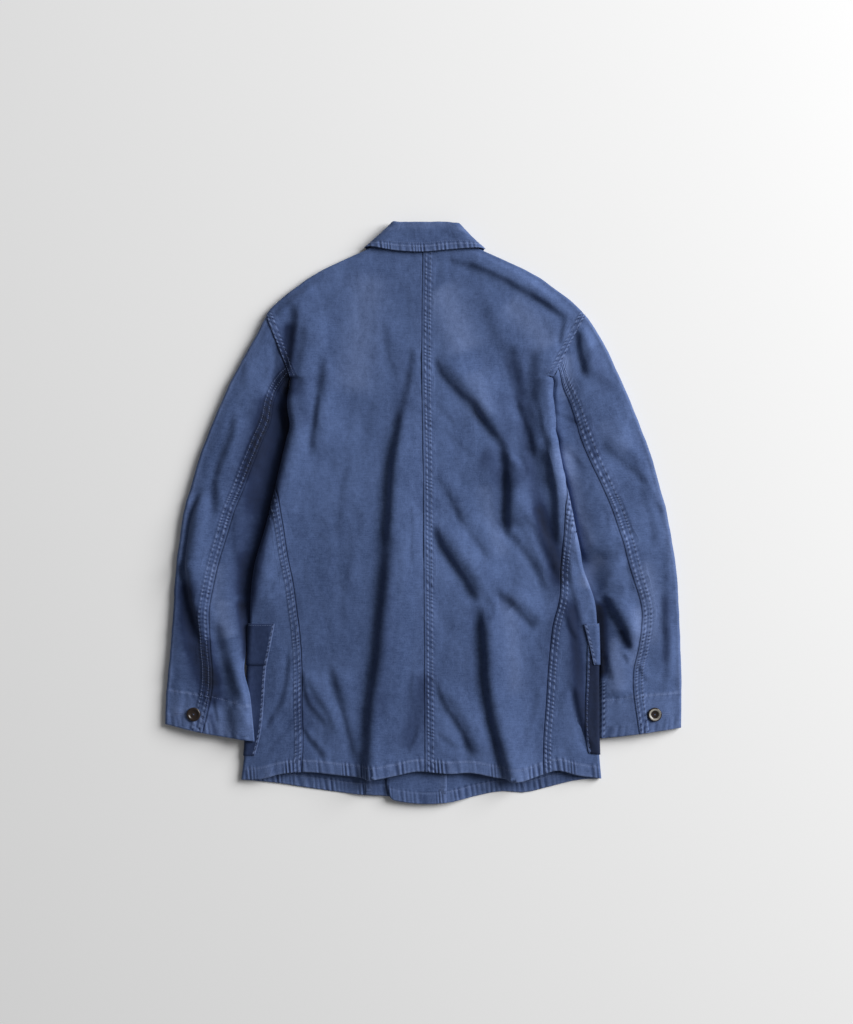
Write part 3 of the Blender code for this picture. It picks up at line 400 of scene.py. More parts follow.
# Columns of each piece, zone by zone
BACK_COLUMNS = (9, 52, 13)
FRONT_COLUMNS = (6, 18, 4, 12, 24, 12)
FACING_COLUMNS = 24
PATCH_COLUMNS = (24, 12, 14)
SLEEVE_COLUMNS = 62
FACING_LAYER = 0.3
FACING_WALL = 0.8
HEM_STITCH_ENDS = {"left": (-164.0, 3.0), "right": (6.0, 164.0)}
SIDE_STITCH_TOP = 20.0
PATCH_STITCH = 2.4
COLLAR_FINE = 12
COLLAR_COLUMNS = 60
COLLAR_PITCH = 6.2
COLLAR_HEM = 8.2
COLLAR_FALL = 36.0
COLLAR_STITCHES = (6.6, 11.8)
COLLAR_STITCH_PITCH = 3.1
COLLAR_SEEN = (3.6, 10.4)
COLLAR_STITCH_ENDS = (3.8, 10.2)

# Cuff buttons: share of the radius, share of the thickness, from the lower face to the dish
BUTTON_TURNING = (
    (0.80, 0.0), (0.93, 0.12), (1.0, 0.42), (0.98, 0.72), (0.91, 0.93), (0.82, 1.0), (0.73, 0.96),
    (0.64, 0.82), (0.57, 0.62), (0.50, 0.52), (0.30, 0.48), (0.02, 0.47),
)
# Rings of the right cuff button's lip that get the painted highlight
BUTTON_HIGHLIGHT_RINGS = (5, 6, 7)
BUTTON_STEPS = 48
BUTTON_HOLE = 0.95
BUTTON_HOLE_REACH = 2.1
BUTTONHOLE = {"left": (-345.0, -330.0), "right": (336.0, 347.0)}
BUTTONHOLE_HALF = 1.2

# Stage, light and camera, in metres
FLOOR_SIZE = 8.0
FLOOR_DROP = -0.0003
WORLD_COLOUR = (1.0, 1.0, 1.0, 1.0)
WORLD_STRENGTH = 0.16
LIGHTS = (
    # name, place, size, energy
    ("key", (5.1, 2.6, 3.4), 4.2, 745.0),
)
LENS, SENSOR = 85.0, 36.0
IMAGE_WIDTH = 853.0
PIXEL = 1.4                 # millimetres of the scene across one pixel of the image
CAMERA_X, CAMERA_Y = 0.007, 0.0014
CAMERA_PLANE = 0.008

# Fold lines read off the photo, in its pixels. Across a line the cloth rises to the right.
PHOTO_ORIGIN = (421.5, 513.0)   # the pixel over the middle of the jacket's box
LINES = (
    # slope, half width, reach to the left, reach to the right, points from the top down
    # right half of the back
    (0.22, 3.0, 9, 13, ((440, 256), (458, 263), (480, 268), (500, 277), (520, 290), (540, 300),
                        (556, 311), (568, 321))),
    (0.30, 2.5, 6, 9, ((530, 295), (545, 304), (558, 313), (569, 323))),
    (0.50, 1.6, 5, 5, ((565, 318), (562, 332), (560, 346))),
    (0.16, 7.0, 14, 16, ((484, 298), (489, 322), (500, 345), (510, 362), (514, 385))),
    (0.28, 6.0, 12, 14, ((510, 340), (516, 358), (520, 380), (521, 400), (524, 420))),
    (0.30, 7.0, 12, 12, ((534, 345), (533, 370), (533, 395), (536, 420), (541, 445))),
    (0.34, 2.0, 6, 6, ((517, 396), (520, 410), (525, 421), (530, 435), (534, 447), (534, 462))),
    (0.30, 2.6, 8, 11, ((432, 350), (440, 370), (452, 385), (462, 394), (473, 401), (481, 413), (489, 426))),
    (0.42, 3.6, 8, 10, ((473, 401), (481, 413), (489, 426), (497, 436), (503, 446), (505, 456),
                        (512, 465), (524, 476))),
    (0.72, 3.8, 8, 13, ((503, 448), (505, 462), (507, 478), (508, 495), (507, 515), (507, 542))),
    (0.35, 3.0, 6, 7, ((519, 452), (523, 462), (528, 474))),
    (0.55, 3.8, 9, 8, ((539, 443), (546, 458), (551, 475), (555, 492), (555, 510), (556, 530), (557, 548))),
    (0.36, 3.2, 8, 9, ((515, 500), (525, 515), (535, 530), (544, 548), (552, 564), (557, 578))),
    (0.26, 3.5, 8, 9, ((510, 530), (520, 545), (532, 560), (541, 578), (548, 596))),
    (0.22, 2.6, 7, 8, ((434, 470), (441, 481), (448, 493), (455, 506), (461, 520), (468, 532),
                       (478, 543), (492, 566))),
    (0.12, 3.0, 7, 8, ((440, 425), (455, 440), (466, 450), (477, 460))),
    (0.14, 2.6, 6, 7, ((436, 402), (446, 414), (458, 428))),
    (0.52, 4.0, 9, 14, ((432, 520), (440, 540), (450, 556), (462, 574), (472, 591), (478, 606))),
    (0.60, 5.0, 9, 13, ((477, 600), (482, 622), (484, 645), (485, 665), (486, 685), (488, 705),
                        (494, 730), (501, 752), (509, 780))),
    (0.20, 2.4, 5, 6, ((475, 612), (476, 640), (477, 668), (479, 700))),
    (0.30, 2.4, 5, 5, ((485, 596), (492, 604), (494, 613), (488, 622))),
    (0.34, 3.2, 8, 9, ((494, 590), (509, 600), (522, 615), (538, 630))),
    (0.36, 3.0, 8, 9, ((436, 676), (441, 698), (450, 712), (460, 726), (467, 741), (475, 758))),
    (0.22, 2.4, 6, 6, ((436, 731), (449, 741), (461, 749))),
    (0.14, 3.0, 6, 7, ((539, 684), (536, 704), (531, 722), (522, 742))),
    (0.28, 3.0, 6, 7, ((566, 552), (571, 585), (577, 612), (583, 634))),
    (0.30, 3.0, 5, 5, ((565, 612), (570, 628), (577, 642))),
    (0.50, 3.2, 6, 7, ((573, 682), (577, 706), (582, 728), (589, 744), (596, 754))),
    # left half of the back
    (0.55, 6.0, 9, 7, ((295, 300), (295, 322), (292, 340), (289, 358), (286, 380))),
    (0.30, 1.4, 3, 3, ((287, 322), (286, 338), (285, 350))),
    (0.30, 4.0, 10, 12, ((325, 352), (322, 375), (319, 398), (317, 418), (314, 436), (311, 462))),
    (0.25, 2.2, 6, 6, ((319, 395), (317, 412), (316, 430))),
    (0.26, 4.0, 9, 9, ((414, 345), (410, 372), (406, 394), (402, 412))),
    (0.50, 5.0, 13, 8, ((404, 400), (399, 424), (397, 442), (393, 460), (391, 480), (390, 505),
                        (388, 530), (386, 555))),
    (0.42, 6.0, 14, 9, ((388, 540), (385, 570), (383, 600), (380, 630), (378, 655), (373, 685),
                        (369, 712), (367, 740), (366, 790))),
    (0.14, 5.0, 10, 12, ((384, 318), (388, 342), (393, 362), (397, 384))),
    (0.16, 4.0, 9, 9, ((348, 462), (343, 490), (340, 512), (338, 538))),
    (0.12, 4.0, 8, 9, ((350, 528), (349, 555), (346, 580), (342, 604), (345, 634))),
    (0.10, 4.0, 8, 8, ((374, 396), (370, 426), (366, 458))),
    (0.20, 2.2, 5, 5, ((410, 500), (412, 525), (411, 548), (412, 568))),
    (0.14, 2.2, 5, 5, ((413, 662), (411, 682), (410, 702))),
    (0.34, 2.4, 6, 7, ((302, 668), (304, 688), (309, 705), (318, 714), (328, 728))),
    (0.36, 2.2, 5, 6, ((303, 726), (309, 738), (317, 748), (325, 760))),
    (0.24, 2.0, 5, 5, ((313, 738), (320, 748), (328, 757))),
    (0.28, 3.0, 8, 9, ((329, 660), (335, 682), (341, 704), (346, 722), (351, 742), (356, 764))),
    (0.32, 2.8, 6, 7, ((290, 648), (288, 672), (286, 688), (281, 704), (273, 717), (263, 735))),
    (0.20, 2.4, 5, 5, ((295, 720), (284, 733), (274, 746), (266, 757))),
    (0.24, 2.2, 5, 5, ((419, 722), (415, 738), (407, 752))),
    (0.14, 4.0, 8, 9, ((352, 280), (340, 292), (328, 301), (314, 306), (300, 303))),
    (0.16, 3.0, 7, 7, ((284, 560), (279, 575), (271, 590), (262, 602))),
    # left sleeve
    (0.34, 2.4, 6, 7, ((231, 406), (234, 426), (231, 440), (225, 451), (221, 465), (217, 475), (214, 484))),
    (0.34, 2.8, 6, 7, ((213, 474), (216, 492), (216, 505), (213, 518), (211, 532))),
    (0.75, 2.8, 6, 9, ((203, 488), (196, 502), (191, 515), (188, 530), (186, 547), (185, 563), (185, 578))),
    (0.60, 4.6, 10, 8, ((185, 556), (186, 575), (188, 592), (192, 608), (196, 624), (201, 646))),
    (0.40, 5.0, 8, 7, ((279, 340), (278, 360), (278, 378), (277, 400))),
    (0.25, 1.5, 4, 4, ((269, 354), (267, 366), (266, 380))),
    (0.12, 3.5, 7, 8, ((242, 360), (243, 376), (246, 392))),
    (0.34, 6.0, 12, 10, ((218, 618), (222, 640), (228, 662), (236, 684), (243, 706))),
    (0.50, 1.3, 3, 4, ((188, 690), (187, 702), (186, 712), (182, 722), (180, 734))),
    (0.34, 2.0, 4, 4, ((214, 698), (216, 711), (219, 724))),
    (0.30, 2.2, 4, 4, ((231, 704), (230, 718), (236, 734), (238, 744))),
    (0.16, 4.0, 8, 8, ((236, 512), (233, 532), (236, 552), (241, 572))),
    # right sleeve
    (0.60, 2.6, 6, 7, ((578, 328), (579, 345), (581, 356), (584, 366), (585, 378))),
    (0.30, 2.8, 8, 9, ((598, 444), (610, 451), (620, 460), (631, 468), (641, 476), (647, 487))),
    (0.24, 2.6, 6, 7, ((641, 474), (648, 488), (656, 503), (664, 516))),
    (0.24, 3.6, 7, 8, ((640, 480), (645, 500), (651, 516), (655, 532), (652, 550))),
    (0.14, 4.0, 9, 9, ((584, 382), (598, 378), (611, 385), (620, 400), (629, 424))),
    (0.22, 2.6, 5, 6, ((614, 490), (622, 505), (628, 520), (634, 538))),
    (0.20, 3.0, 7, 7, ((666, 545), (666, 575), (664, 605), (665, 640))),
    (0.30, 2.4, 6, 6, ((664, 622), (668, 650), (666, 672), (664, 695))),
    (0.24, 1.8, 4, 5, ((556, 409), (564, 415), (575, 420), (584, 428))),
    (0.24, 1.8, 4, 5, ((595, 480), (589, 491), (585, 503), (584, 513))),
    (0.16, 3.0, 6, 7, ((566, 446), (578, 456), (586, 470))),
    (0.22, 3.0, 6, 7, ((583, 524), (588, 538), (592, 552))),
    (0.16, 3.0, 6, 6, ((600, 500), (608, 516), (608, 532))),
    (0.26, 4.0, 7, 9, ((622, 554), (612, 566), (604, 582), (597, 598))),
    (0.16, 2.6, 6, 6, ((626, 558), (631, 575), (634, 594))),
    (0.62, 3.6, 8, 7, ((602, 592), (611, 604), (618, 616), (624, 629), (628, 641), (631, 654))),
    (0.30, 2.0, 4, 5, ((620, 646), (624, 655), (628, 664))),
    (0.45, 2.0, 4, 5, ((606, 652), (609, 666), (613, 682))),
    (0.24, 2.0, 4, 5, ((637, 662), (642, 674), (650, 684))),
)
# Painted shade on the pockets and the left flap, which lie low beside the sleeves
PATCH_SHADE = {"left": {"pocket": 0.92, "flap": 0.90}, "right": {"pocket": 1.62, "flap": 0.0}}
LINE_TAPER = 0.16
LINE_GAIN = 1.45

# Broad rises, and a trough (below 0), that only the cloth of this scene has:
# height, left reach, right reach, points, in pixels
ROLLS = (
    (6.5, 9.0, 26.0, ((294, 378), (294.5, 410), (298, 428), (295, 442), (289, 462), (282, 490),
                      (272, 528), (261, 568), (257, 603), (254, 622))),
    (6.0, 15.0, 12.0, ((546, 335), (548, 370), (551, 410), (556, 450), (562, 490))),
    (7.0, 24.0, 26.0, ((564, 425), (570, 460), (577, 495), (587, 530), (596, 565))),
    (4.0, 13.0, 12.0, ((612, 600), (614, 635), (616, 670), (617, 700))),
    (3.5, 14.0, 6.0, ((229, 560), (232, 600), (237, 640), (243, 680), (249, 708), (249, 736))),
    (-1.6, 12.0, 12.0, ((282, 385), (280, 430), (272, 470), (262, 510), (252, 550), (245, 590), (243, 615))),
)
ROLL_TAPER = 0.12
HEM_PIXEL = 775             # a line that ends lower runs out over the hem
# Colours of painted shade, and of the deepest painted shade
CLOTH_SHADE = (0.012, 0.024, 0.073, 1.0)
CLOTH_BLACK = (0.002, 0.005, 0.018, 1.0)
SHEEN_TINT = (0.45, 0.60, 1.0, 1.0)
SHADE_MOTTLE = 0.70
LIGHT_IN_SHADE = 0.60       # how far the light dots of a seam show in a shaded part
ARMHOLE_FADE = 26.0
HEAD_TUCK = 2.3             # the sleeve's head runs under the back's edge
HEAD_TUCK_PLACES = 0.11
HEAD_TOWARDS = {"left": (0.93, 0.36, -0.22), "right": (-0.93, 0.36, -0.22)}
DOME_HEIGHT, DOME_REACH, DOME_TOP, DOME_FADE = 5.0, 120.0, 150.0, 150.0
# How dark the sleeves lie beside the body: row, depth, reach. Tuned against printed brightness too
# The darkness is painted shadow that the body casts on the sleeves
SLEEVE_SHADE = {
    "left": ((-190, 0.0, 8), (-165, 0.40, 12), (-122, 0.75, 24), (-80, 0.84, 34), (-40, 0.88, 42),
             (18, 0.92, 54), (60, 0.94, 60), (102, 0.94, 58), (140, 0.90, 46), (180, 0.74, 30),
             (215, 0.0, 20)),
    "right": ((-330, 0.0, 6), (-250, 0.35, 6), (-220, 0.90, 8), (-125, 0.85, 8), (-95, 0.25, 6),
              (150, 0.10, 6), (200, 0.0, 6)),
}
# The sleeves' inner edges lie against the body: row, sideways shift from the solid's
SLEEVE_NUDGE = {
    "left": ((-215, 0.0), (-180, 2.6), (-110, 2.6), (-60, 0.0)),
    "right": ((-330, -2.4), (-200, -2.4), (-130, -2.4), (-90, 0.0), (-40, 0.0), (31, -3.0), (90, -7.5),
              (130, -6.5), (169, -4.0), (186, 0.0)),
}
# The body's right side, where the sleeve leaves it: row, sideways shift from the solid's
SIDE_NUDGE = {
    "left": ((0, 0.0), (10, 0.0)),
    "right": ((-40, 0.0), (31, -3.4), (60, -6.0), (90, -8.0), (130, -7.0), (166, -4.5), (184, 0.0)),
}
SIDE_REACH = 16.0
# The sleeves' outer edges: row, sideways shift from the solid's. Most rows and values follow the
# differences between the edges of the photo and a render that a separate script printed, times PIXEL
# and eased by hand. CUFF_LIFT comes from the same kind of measurement
SLEEVE_TRIM = {
    "left": ((-300, 5.4), (-248, 5.2), (-206, 6.6), (-150, 6.2), (-122, 5.4), (-80, 3.8), (4, 4.9),
             (46, 4.4), (88, 5.4),
             (130, 6.2), (172, 7.4), (210, 6.0), (256, 5.0), (285, 1.5), (300, 0.0)),
    "right": ((80, 0.0), (109, -2.2), (172, -3.2), (200, -2.6), (225, 0.0)),
}
CUFF_LIFT = {"left": 5.6, "right": 1.6}     # the outer corner of the hem lies higher than on the solid
CUFF_LIFT_PLACE, CUFF_LIFT_TURNS = 10.3, 0.4
NUDGE_TURNS = 0.16
# Past the elbow seam the cuff's stitching comes nearer the wrist by this much a turn
CUFF_SLANT = {"left": 24.0, "right": 8.0}
INNER_STITCHES = (1.6, 6.6)     # stitch rows of the right sleeve's inner seam, near the wrist
INNER_PLACE = 10.3
# Painted shade on deep places (below 0) and painted highlights on lit ones: strength, left reach, right
# reach, points, in pixels.
# Set by eye and from a map of mean brightness, photo against render, that a separate script printed
LIGHT_AND_SHADE_STROKES = (
    (-0.08, 70, 70, ((330, 560), (335, 660), (340, 765))),
    (-0.07, 60, 60, ((510, 600), (515, 680), (520, 765))),
    (0.34, 16, 16, ((436, 284), (446, 300), (454, 318), (461, 338), (468, 356))),
    (0.26, 18, 18, ((372, 268), (366, 300), (362, 335), (358, 368), (354, 400))),
    (0.28, 13, 13, ((505, 300), (525, 318), (540, 334), (550, 352))),
    (0.15, 12, 12, ((470, 370), (480, 395), (486, 420))),
    (0.52, 10, 10, ((268, 296), (250, 318), (234, 345), (219, 372), (207, 398), (197, 424))),
    (0.62, 9, 9, ((200, 408), (186, 438), (176, 465), (168, 495), (162, 525), (158, 555), (155, 590),
                  (153, 630))),
    (0.20, 8, 8, ((216, 560), (217, 585), (216, 606))),
    (0.10, 10, 10, ((600, 420), (616, 442), (630, 452))),
    (0.34, 6, 6, ((565, 352), (567, 378), (570, 402))),
    (-0.26, 9, 9, ((588, 346), (600, 372), (610, 396))),
    (-0.30, 6, 7, ((588, 412), (592, 440), (596, 462))),
    (0.56, 9, 10, ((566, 440), (569, 470), (573, 500), (580, 530), (588, 556))),
    (0.30, 10, 10, ((638, 558), (649, 582), (651, 622), (648, 650))),
    (0.26, 9, 9, ((610, 635), (616, 662), (618, 695))),
    (0.16, 8, 8, ((484, 480), (490, 520), (505, 560))),
    (0.20, 9, 9, ((505, 590), (512, 630), (514, 670), (516, 700))),
    (0.16, 9, 9, ((163, 712), (185, 718), (212, 728), (236, 736))),
    (0.08, 6, 5, ((247, 690), (252, 708), (252, 732))),
    (-0.75, 9, 9, ((288, 318), (289, 345), (288, 370), (290, 402))),
    (-0.40, 8, 8, ((266, 388), (262, 410), (257, 435), (250, 460), (243, 484))),
    (-0.30, 10, 10, ((276, 392), (270, 425), (263, 460), (255, 495), (249, 520))),
    (-0.20, 10, 12, ((300, 372), (303, 400), (308, 428))),
    (-0.55, 5, 5, ((287, 378), (286, 410), (286, 440), (281, 470), (275, 497), (266, 535), (258, 570),
                   (253, 605), (251, 622))),
    (-0.34, 9, 10, ((248, 548), (243, 580), (240, 600))),
    (-0.85, 14, 12, ((186, 572), (186, 605), (192, 640), (202, 668), (214, 694), (222, 714))),
    (-0.42, 8, 8, ((206, 636), (212, 662), (217, 690))),
    (-0.50, 3, 3, ((210, 712), (213, 724), (217, 737))),
    (0.30, 8, 8, ((220, 598), (223, 620), (228, 640))),
    (-0.75, 5, 7, ((239, 596), (240, 620), (243, 640), (247, 664))),
    (-0.26, 9, 10, ((388, 520), (386, 570), (384, 620), (381, 680), (378, 730))),
    (-0.16, 12, 12, ((409, 345), (405, 390), (401, 432))),
    (-0.40, 14, 13, ((424, 668), (419, 702), (411, 735), (402, 752))),
    (-0.28, 12, 12, ((306, 690), (306, 712), (306, 732))),
    (-0.34, 14, 14, ((478, 452), (500, 468), (524, 486))),
    (-0.40, 9, 9, ((503, 338), (512, 362), (522, 395), (527, 430), (529, 462), (534, 492), (546, 528),
                   (556, 565), (560, 600))),
    (-0.22, 10, 10, ((503, 388), (505, 422), (506, 462))),
    (-0.18, 10, 10, ((532, 480), (540, 525), (551, 565), (556, 600), (552, 645), (551, 690))),
    (-0.45, 8, 9, ((534, 500), (546, 530), (556, 560), (564, 590))),
    (-0.80, 8, 8, ((568, 590), (574, 625), (577, 655), (579, 690), (584, 720), (592, 745))),
    (-1.10, 4, 6, ((600, 598), (603, 622), (604, 650), (603, 682))),
    (-0.50, 4, 5, ((664, 590), (666, 625), (664, 668))),
    (0.26, 7, 7, ((636, 604), (638, 640), (634, 672))),
    (0.40, 7, 7, ((584, 590), (592, 566), (604, 556))),
    (-0.55, 4, 5, ((620, 628), (625, 640), (628, 650))),
    (-0.30, 9, 9, ((498, 600), (503, 600), (512, 608))),
    (-0.30, 4, 4, ((549, 372), (554, 379), (557, 388))),
    (-0.16, 9, 9, ((498, 465), (500, 500), (506, 530))),
    (-0.14, 10, 10, ((474, 600), (476, 640), (478, 690))),
    (-0.10, 9, 9, ((622, 540), (630, 556))),
)
CRINKLE = (34.0, 15.0, 2.0, 0.55)       # scale across, scale along, detail, roughness of the fine creases
CRINKLE_RISE, CRINKLE_WEAR = 0.34, 0.10
CRINKLE_BODY = 0.35                     # share of the fine creases away from the seams
STROKE_TAPER = 0.14
DEEPEST_SHADE = 1.9
STROKE_GAIN = 1.6
# Painted shade in the cores of the fold lines
CORE_SHADE = 0.10           # how dark the core of a fold line is, times its slope


# ---------------------------------------------------------------- shared surfaces

def smoothstep(value):
    """0 to 1 with level ends."""
    value = np.clip(value, 0.0, 1.0)
    return value * value * (3.0 - 2.0 * value)


def curve_through(rows, column=None):
    """A smooth function through a table whose first column is the place."""
    table = np.array(rows, dtype=float)
    keys = table[:, 0]
    values = table[:, 1:] if column is None else table[:, column]
    slopes = np.gradient(values, keys, axis=0)

    def value_at(place):
        place = np.clip(np.asarray(place, dtype=float), keys[0], keys[-1])
        index = np.clip(np.searchsorted(keys, place, side="right") - 1, 0, len(keys) - 2)
        span = keys[index + 1] - keys[index]
        share = (place - keys[index]) / span
        if column is None:
            share, span = share[..., None], span[..., None]
        rest = 1.0 - share
        return (values[index] * (1.0 + 2.0 * share) * rest ** 2
                + values[index + 1] * share ** 2 * (3.0 - 2.0 * share)
                + slopes[index] * span * share * rest ** 2
                - slopes[index + 1] * span * share ** 2 * rest)

    return value_at


def lines_through(rows, column=1):
    """A function of straight lines through a table."""
    table = np.array(rows, dtype=float)
    return lambda place: np.interp(place, table[:, 0], table[:, column])


side_x = {"left": curve_through(SIDE_EDGE, 1), "right": curve_through(SIDE_EDGE, 2)}
shoulder_x = {"left": curve_through(SHOULDER_EDGE, 1), "right": curve_through(SHOULDER_EDGE, 2)}
edge_radius = lines_through(EDGE_FOLD, 1)
edge_height = lines_through(EDGE_FOLD, 2)
upper_blend = lines_through(EDGE_BLEND, 1)
lower_blend = lines_through(EDGE_BLEND, 2)
armhole_share = lines_through(ARMHOLE_SHARE)
seam_arc = {"left": curve_through(SIDE_SEAM, 1), "right": curve_through(SIDE_SEAM, 2)}
centre_x = curve_through(CENTRE_SEAM, 1)
back_hem_y = curve_through(BACK_HEM, 1)
front_hem_y = {side: curve_through(rows, 1) for side, rows in FRONT_HEM.items()}
upper_base = curve_through(UPPER_BASE, 1)
SIGN = {"left": -1.0, "right": 1.0}


def ridge(x, y, left_reach, right_reach, points, start_taper, end_taper):
    """A ridge of height 1 along a line of points. A taper is the share of its length over which it
    rises at that end."""
    points = np.array(points, dtype=float)
    steps = np.diff(points, axis=0)
    lengths = np.hypot(steps[:, 0], steps[:, 1])
    walked = np.concatenate(([0.0], np.cumsum(lengths)))
    shape = np.broadcast(x, y).shape
    nearest, signed, place = np.full(shape, np.inf), np.zeros(shape), np.zeros(shape)
    for index, (dx, dy) in enumerate(steps):
        from_x, from_y = x - points[index, 0], y - points[index, 1]
        share = np.clip((from_x * dx + from_y * dy) / lengths[index] ** 2, 0.0, 1.0)
        distance = np.hypot(from_x - share * dx, from_y - share * dy)
        closer = distance < nearest
        nearest = np.where(closer, distance, nearest)
        signed = np.where(closer, dx * from_y - dy * from_x, signed)
        place = np.where(closer, walked[index] + share * lengths[index], place)
    place = place / walked[-1]
    taper = np.ones(shape)
    if start_taper > 0.0:
        taper = taper * smoothstep(place / start_taper)
    if end_taper > 0.0:
        taper = taper * smoothstep((1.0 - place) / end_taper)
    reach = np.where(signed > 0.0, right_reach, left_reach)
    return taper * np.exp(-(nearest / reach) ** 2)


def fold_height(x, y):
    """Height that the folds add at a place."""
    total = np.zeros(np.broadcast(x, y).shape)
    for height, left_reach, right_reach, points in FOLDS:
        end_taper = 0.0 if points[-1][1] <= HEM_ROW + 2.0 else FOLD_TAPER
        total += height * ridge(x, y, left_reach, right_reach, points, FOLD_TAPER, end_taper)
    return total


def upper_height(x, y):
    """Height of the outer face of the upper layer, away from its edges."""
    folds = fold_height(x, y)
    for button_x, button_y in CUFF_BUTTON.values():
        away = np.hypot(x - button_x, y - button_y)
        folds = folds * smoothstep((away - BUTTON_RADIUS) / CUFF_PAD_REACH)
    return upper_base(y) + folds


def window(value, low, high, blend):
    """1 between low and high, falling to 0 over the blend outside."""
    outside = np.maximum(low - value, value - high)
    return smoothstep(1.0 - outside / blend)


def zone(x, y, box, blend):
    """1 inside a box given as its low x, high x, low y and high y, falling to 0 outside."""
    return window(x, box[0], box[1], blend) * window(y, box[2], box[3], blend)


def front_height(x, y, side):
    """Height of the outer, lower face of a front, away from its edges."""
    placket = PLACKET_RISE * zone(x, y, PLACKET_ZONE, RISE_BLEND)
    collar = COLLAR_RISE * zone(x, y, COLLAR_ZONE, RISE_BLEND)
    outside = np.abs(x)
    pocket = POCKET_RISE * zone(outside, y, POCKET_ZONE, POCKET_BLEND)
    flap = FLAP_RISE * zone(outside, y, FLAP_ZONE, POCKET_BLEND)
    height = np.maximum(np.maximum(placket, collar), np.maximum(pocket, flap))
    if side == "right":
        height = height + OVERLAP_RISE * (1.0 - smoothstep((x - OVERLAP_X) / RISE_BLEND))
    return height


# ---------------------------------------------------------------- the body as a tube

def armhole_x(row, side):
    """The armhole seam's x at a row."""
    (tip_x, tip_y), (under_x, under_y) = ARMHOLE[side]
    share = (tip_y - row) / (tip_y - under_y)
    return tip_x + share * (under_x - tip_x)


def body_edge(row, side):
    """The silhouette's x at a row. In the armhole rows it is one fold radius beyond the seam."""
    row = np.asarray(row, dtype=float)
    beyond = armhole_x(row, side) + SIGN[side] * (edge_radius(row) - ARMHOLE_GAP)
    edge = np.where(row < UNDERARM_ROW, side_x[side](row), shoulder_x[side](row))
    in_armhole = (row > UNDERARM_ROW) & (row < SHOULDER_ROW)
    return np.where(in_armhole, beyond, edge)


def row_to_y(row, x, upper, side):
    """A row's y at x. The lowest rows follow the hem, and the top rows the neckline."""
    hem = back_hem_y(x) if upper else front_hem_y[side](x)
    near_hem = 1.0 - smoothstep((row - HEM_ROW) / HEM_BLEND)
    near_neck = np.clip((row - NECK_RISE_START) / (NECK_ROW - NECK_RISE_START), 0.0, 1.0)
    rise = NECK_RISE * np.clip(np.abs(x) / NECK_RISE_HALF_WIDTH, 0.0, 1.0) ** 2
    return row + (hem - HEM_ROW) * near_hem + rise * near_neck


def body_point(arc, row, side):
    """A point of the body's outer face. The arc runs inwards from one side's edge: above 0 over the
    upper layer, below 0 under the lower one."""
    arc, row = np.broadcast_arrays(np.asarray(arc, dtype=float), np.asarray(row, dtype=float))
    radius, centre = edge_radius(row), edge_height(row)
    turn = np.clip(arc / radius, -math.pi / 2, math.pi / 2)
    flat = np.maximum(np.abs(arc) - radius * math.pi / 2, 0.0)
    inset = radius * (1.0 - np.cos(turn)) + flat
    x = body_edge(row, side) - SIGN[side] * inset
    y_upper = row_to_y(row, x, True, side)
    y_lower = row_to_y(row, x, False, side)
    y = np.where(arc > 0.0, y_upper, y_lower)
    rounded = centre + radius * np.sin(turn)
    away = armhole_share(row)
    upper = away + (1.0 - away) * smoothstep(flat / upper_blend(row))
    lower = away + (1.0 - away) * smoothstep(flat / lower_blend(row))
    z_upper = rounded + (upper_height(x, y) - rounded) * upper
    z_lower = rounded + (front_height(x, y, side) - rounded) * lower
    return np.stack([x, y, np.where(arc > 0.0, z_upper, z_lower)], axis=-1)


def outward_normals(point_at, arc, row, flip):
    """Unit normals of a tube's outer face from central differences."""
    along_arc = point_at(arc + NORMAL_STEP, row) - point_at(arc - NORMAL_STEP, row)
    along_row = point_at(arc, row + NORMAL_STEP) - point_at(arc, row - NORMAL_STEP)
    normals = np.cross(along_arc, along_row) * flip
    return normals / np.linalg.norm(normals, axis=-1, keepdims=True)


def arc_of_x(x, row, side):
    """The arc on a flat part at x."""
    inset = SIGN[side] * (body_edge(row, side) - x)
    return inset - edge_radius(row) + edge_radius(row) * math.pi / 2


def front_edge_x(row, side):
    """The front's free edge, then the neckline above it."""
    if row > NECK_OPEN_ROW:
        drop = (NECKLINE_TOP - row) / (NECKLINE_TOP - NECK_OPEN_ROW)
        return SIGN[side] * NECK_HALF_WIDTH[side] * math.sqrt(max(0.0, 1.0 - drop ** 2))
    at_neck, at_hem = FRONT_EDGE[side]
    share = (row - HEM_ROW) / (NECK_OPEN_ROW - HEM_ROW)
    corner = 0.0
    if side == "right":
        above = min(max((row - HEM_ROW) / FRONT_CORNER_RADIUS, 0.0), 1.0)
        corner = FRONT_CORNER_INSET * (1.0 - math.sqrt(1.0 - (1.0 - above) ** 2))
    return at_hem + share * (at_neck - at_hem) + corner


def sleeve_frame(place, side):
    """The values of a sleeve's table at a place along it, from 0 at the armhole."""
    table = np.array(SLEEVE[side], dtype=float)
    keyed = np.column_stack([np.arange(len(table)), table])
    values = curve_through(keyed)(place)
    outer_x, outer_y, inner_y, inside = (values[..., index] for index in range(4))
    inner_x = side_x[side](np.minimum(inner_y, UNDERARM_ROW - 1.0)) - SIGN[side] * inside
    return outer_x, outer_y, inner_x, inner_y, values[..., 4:]


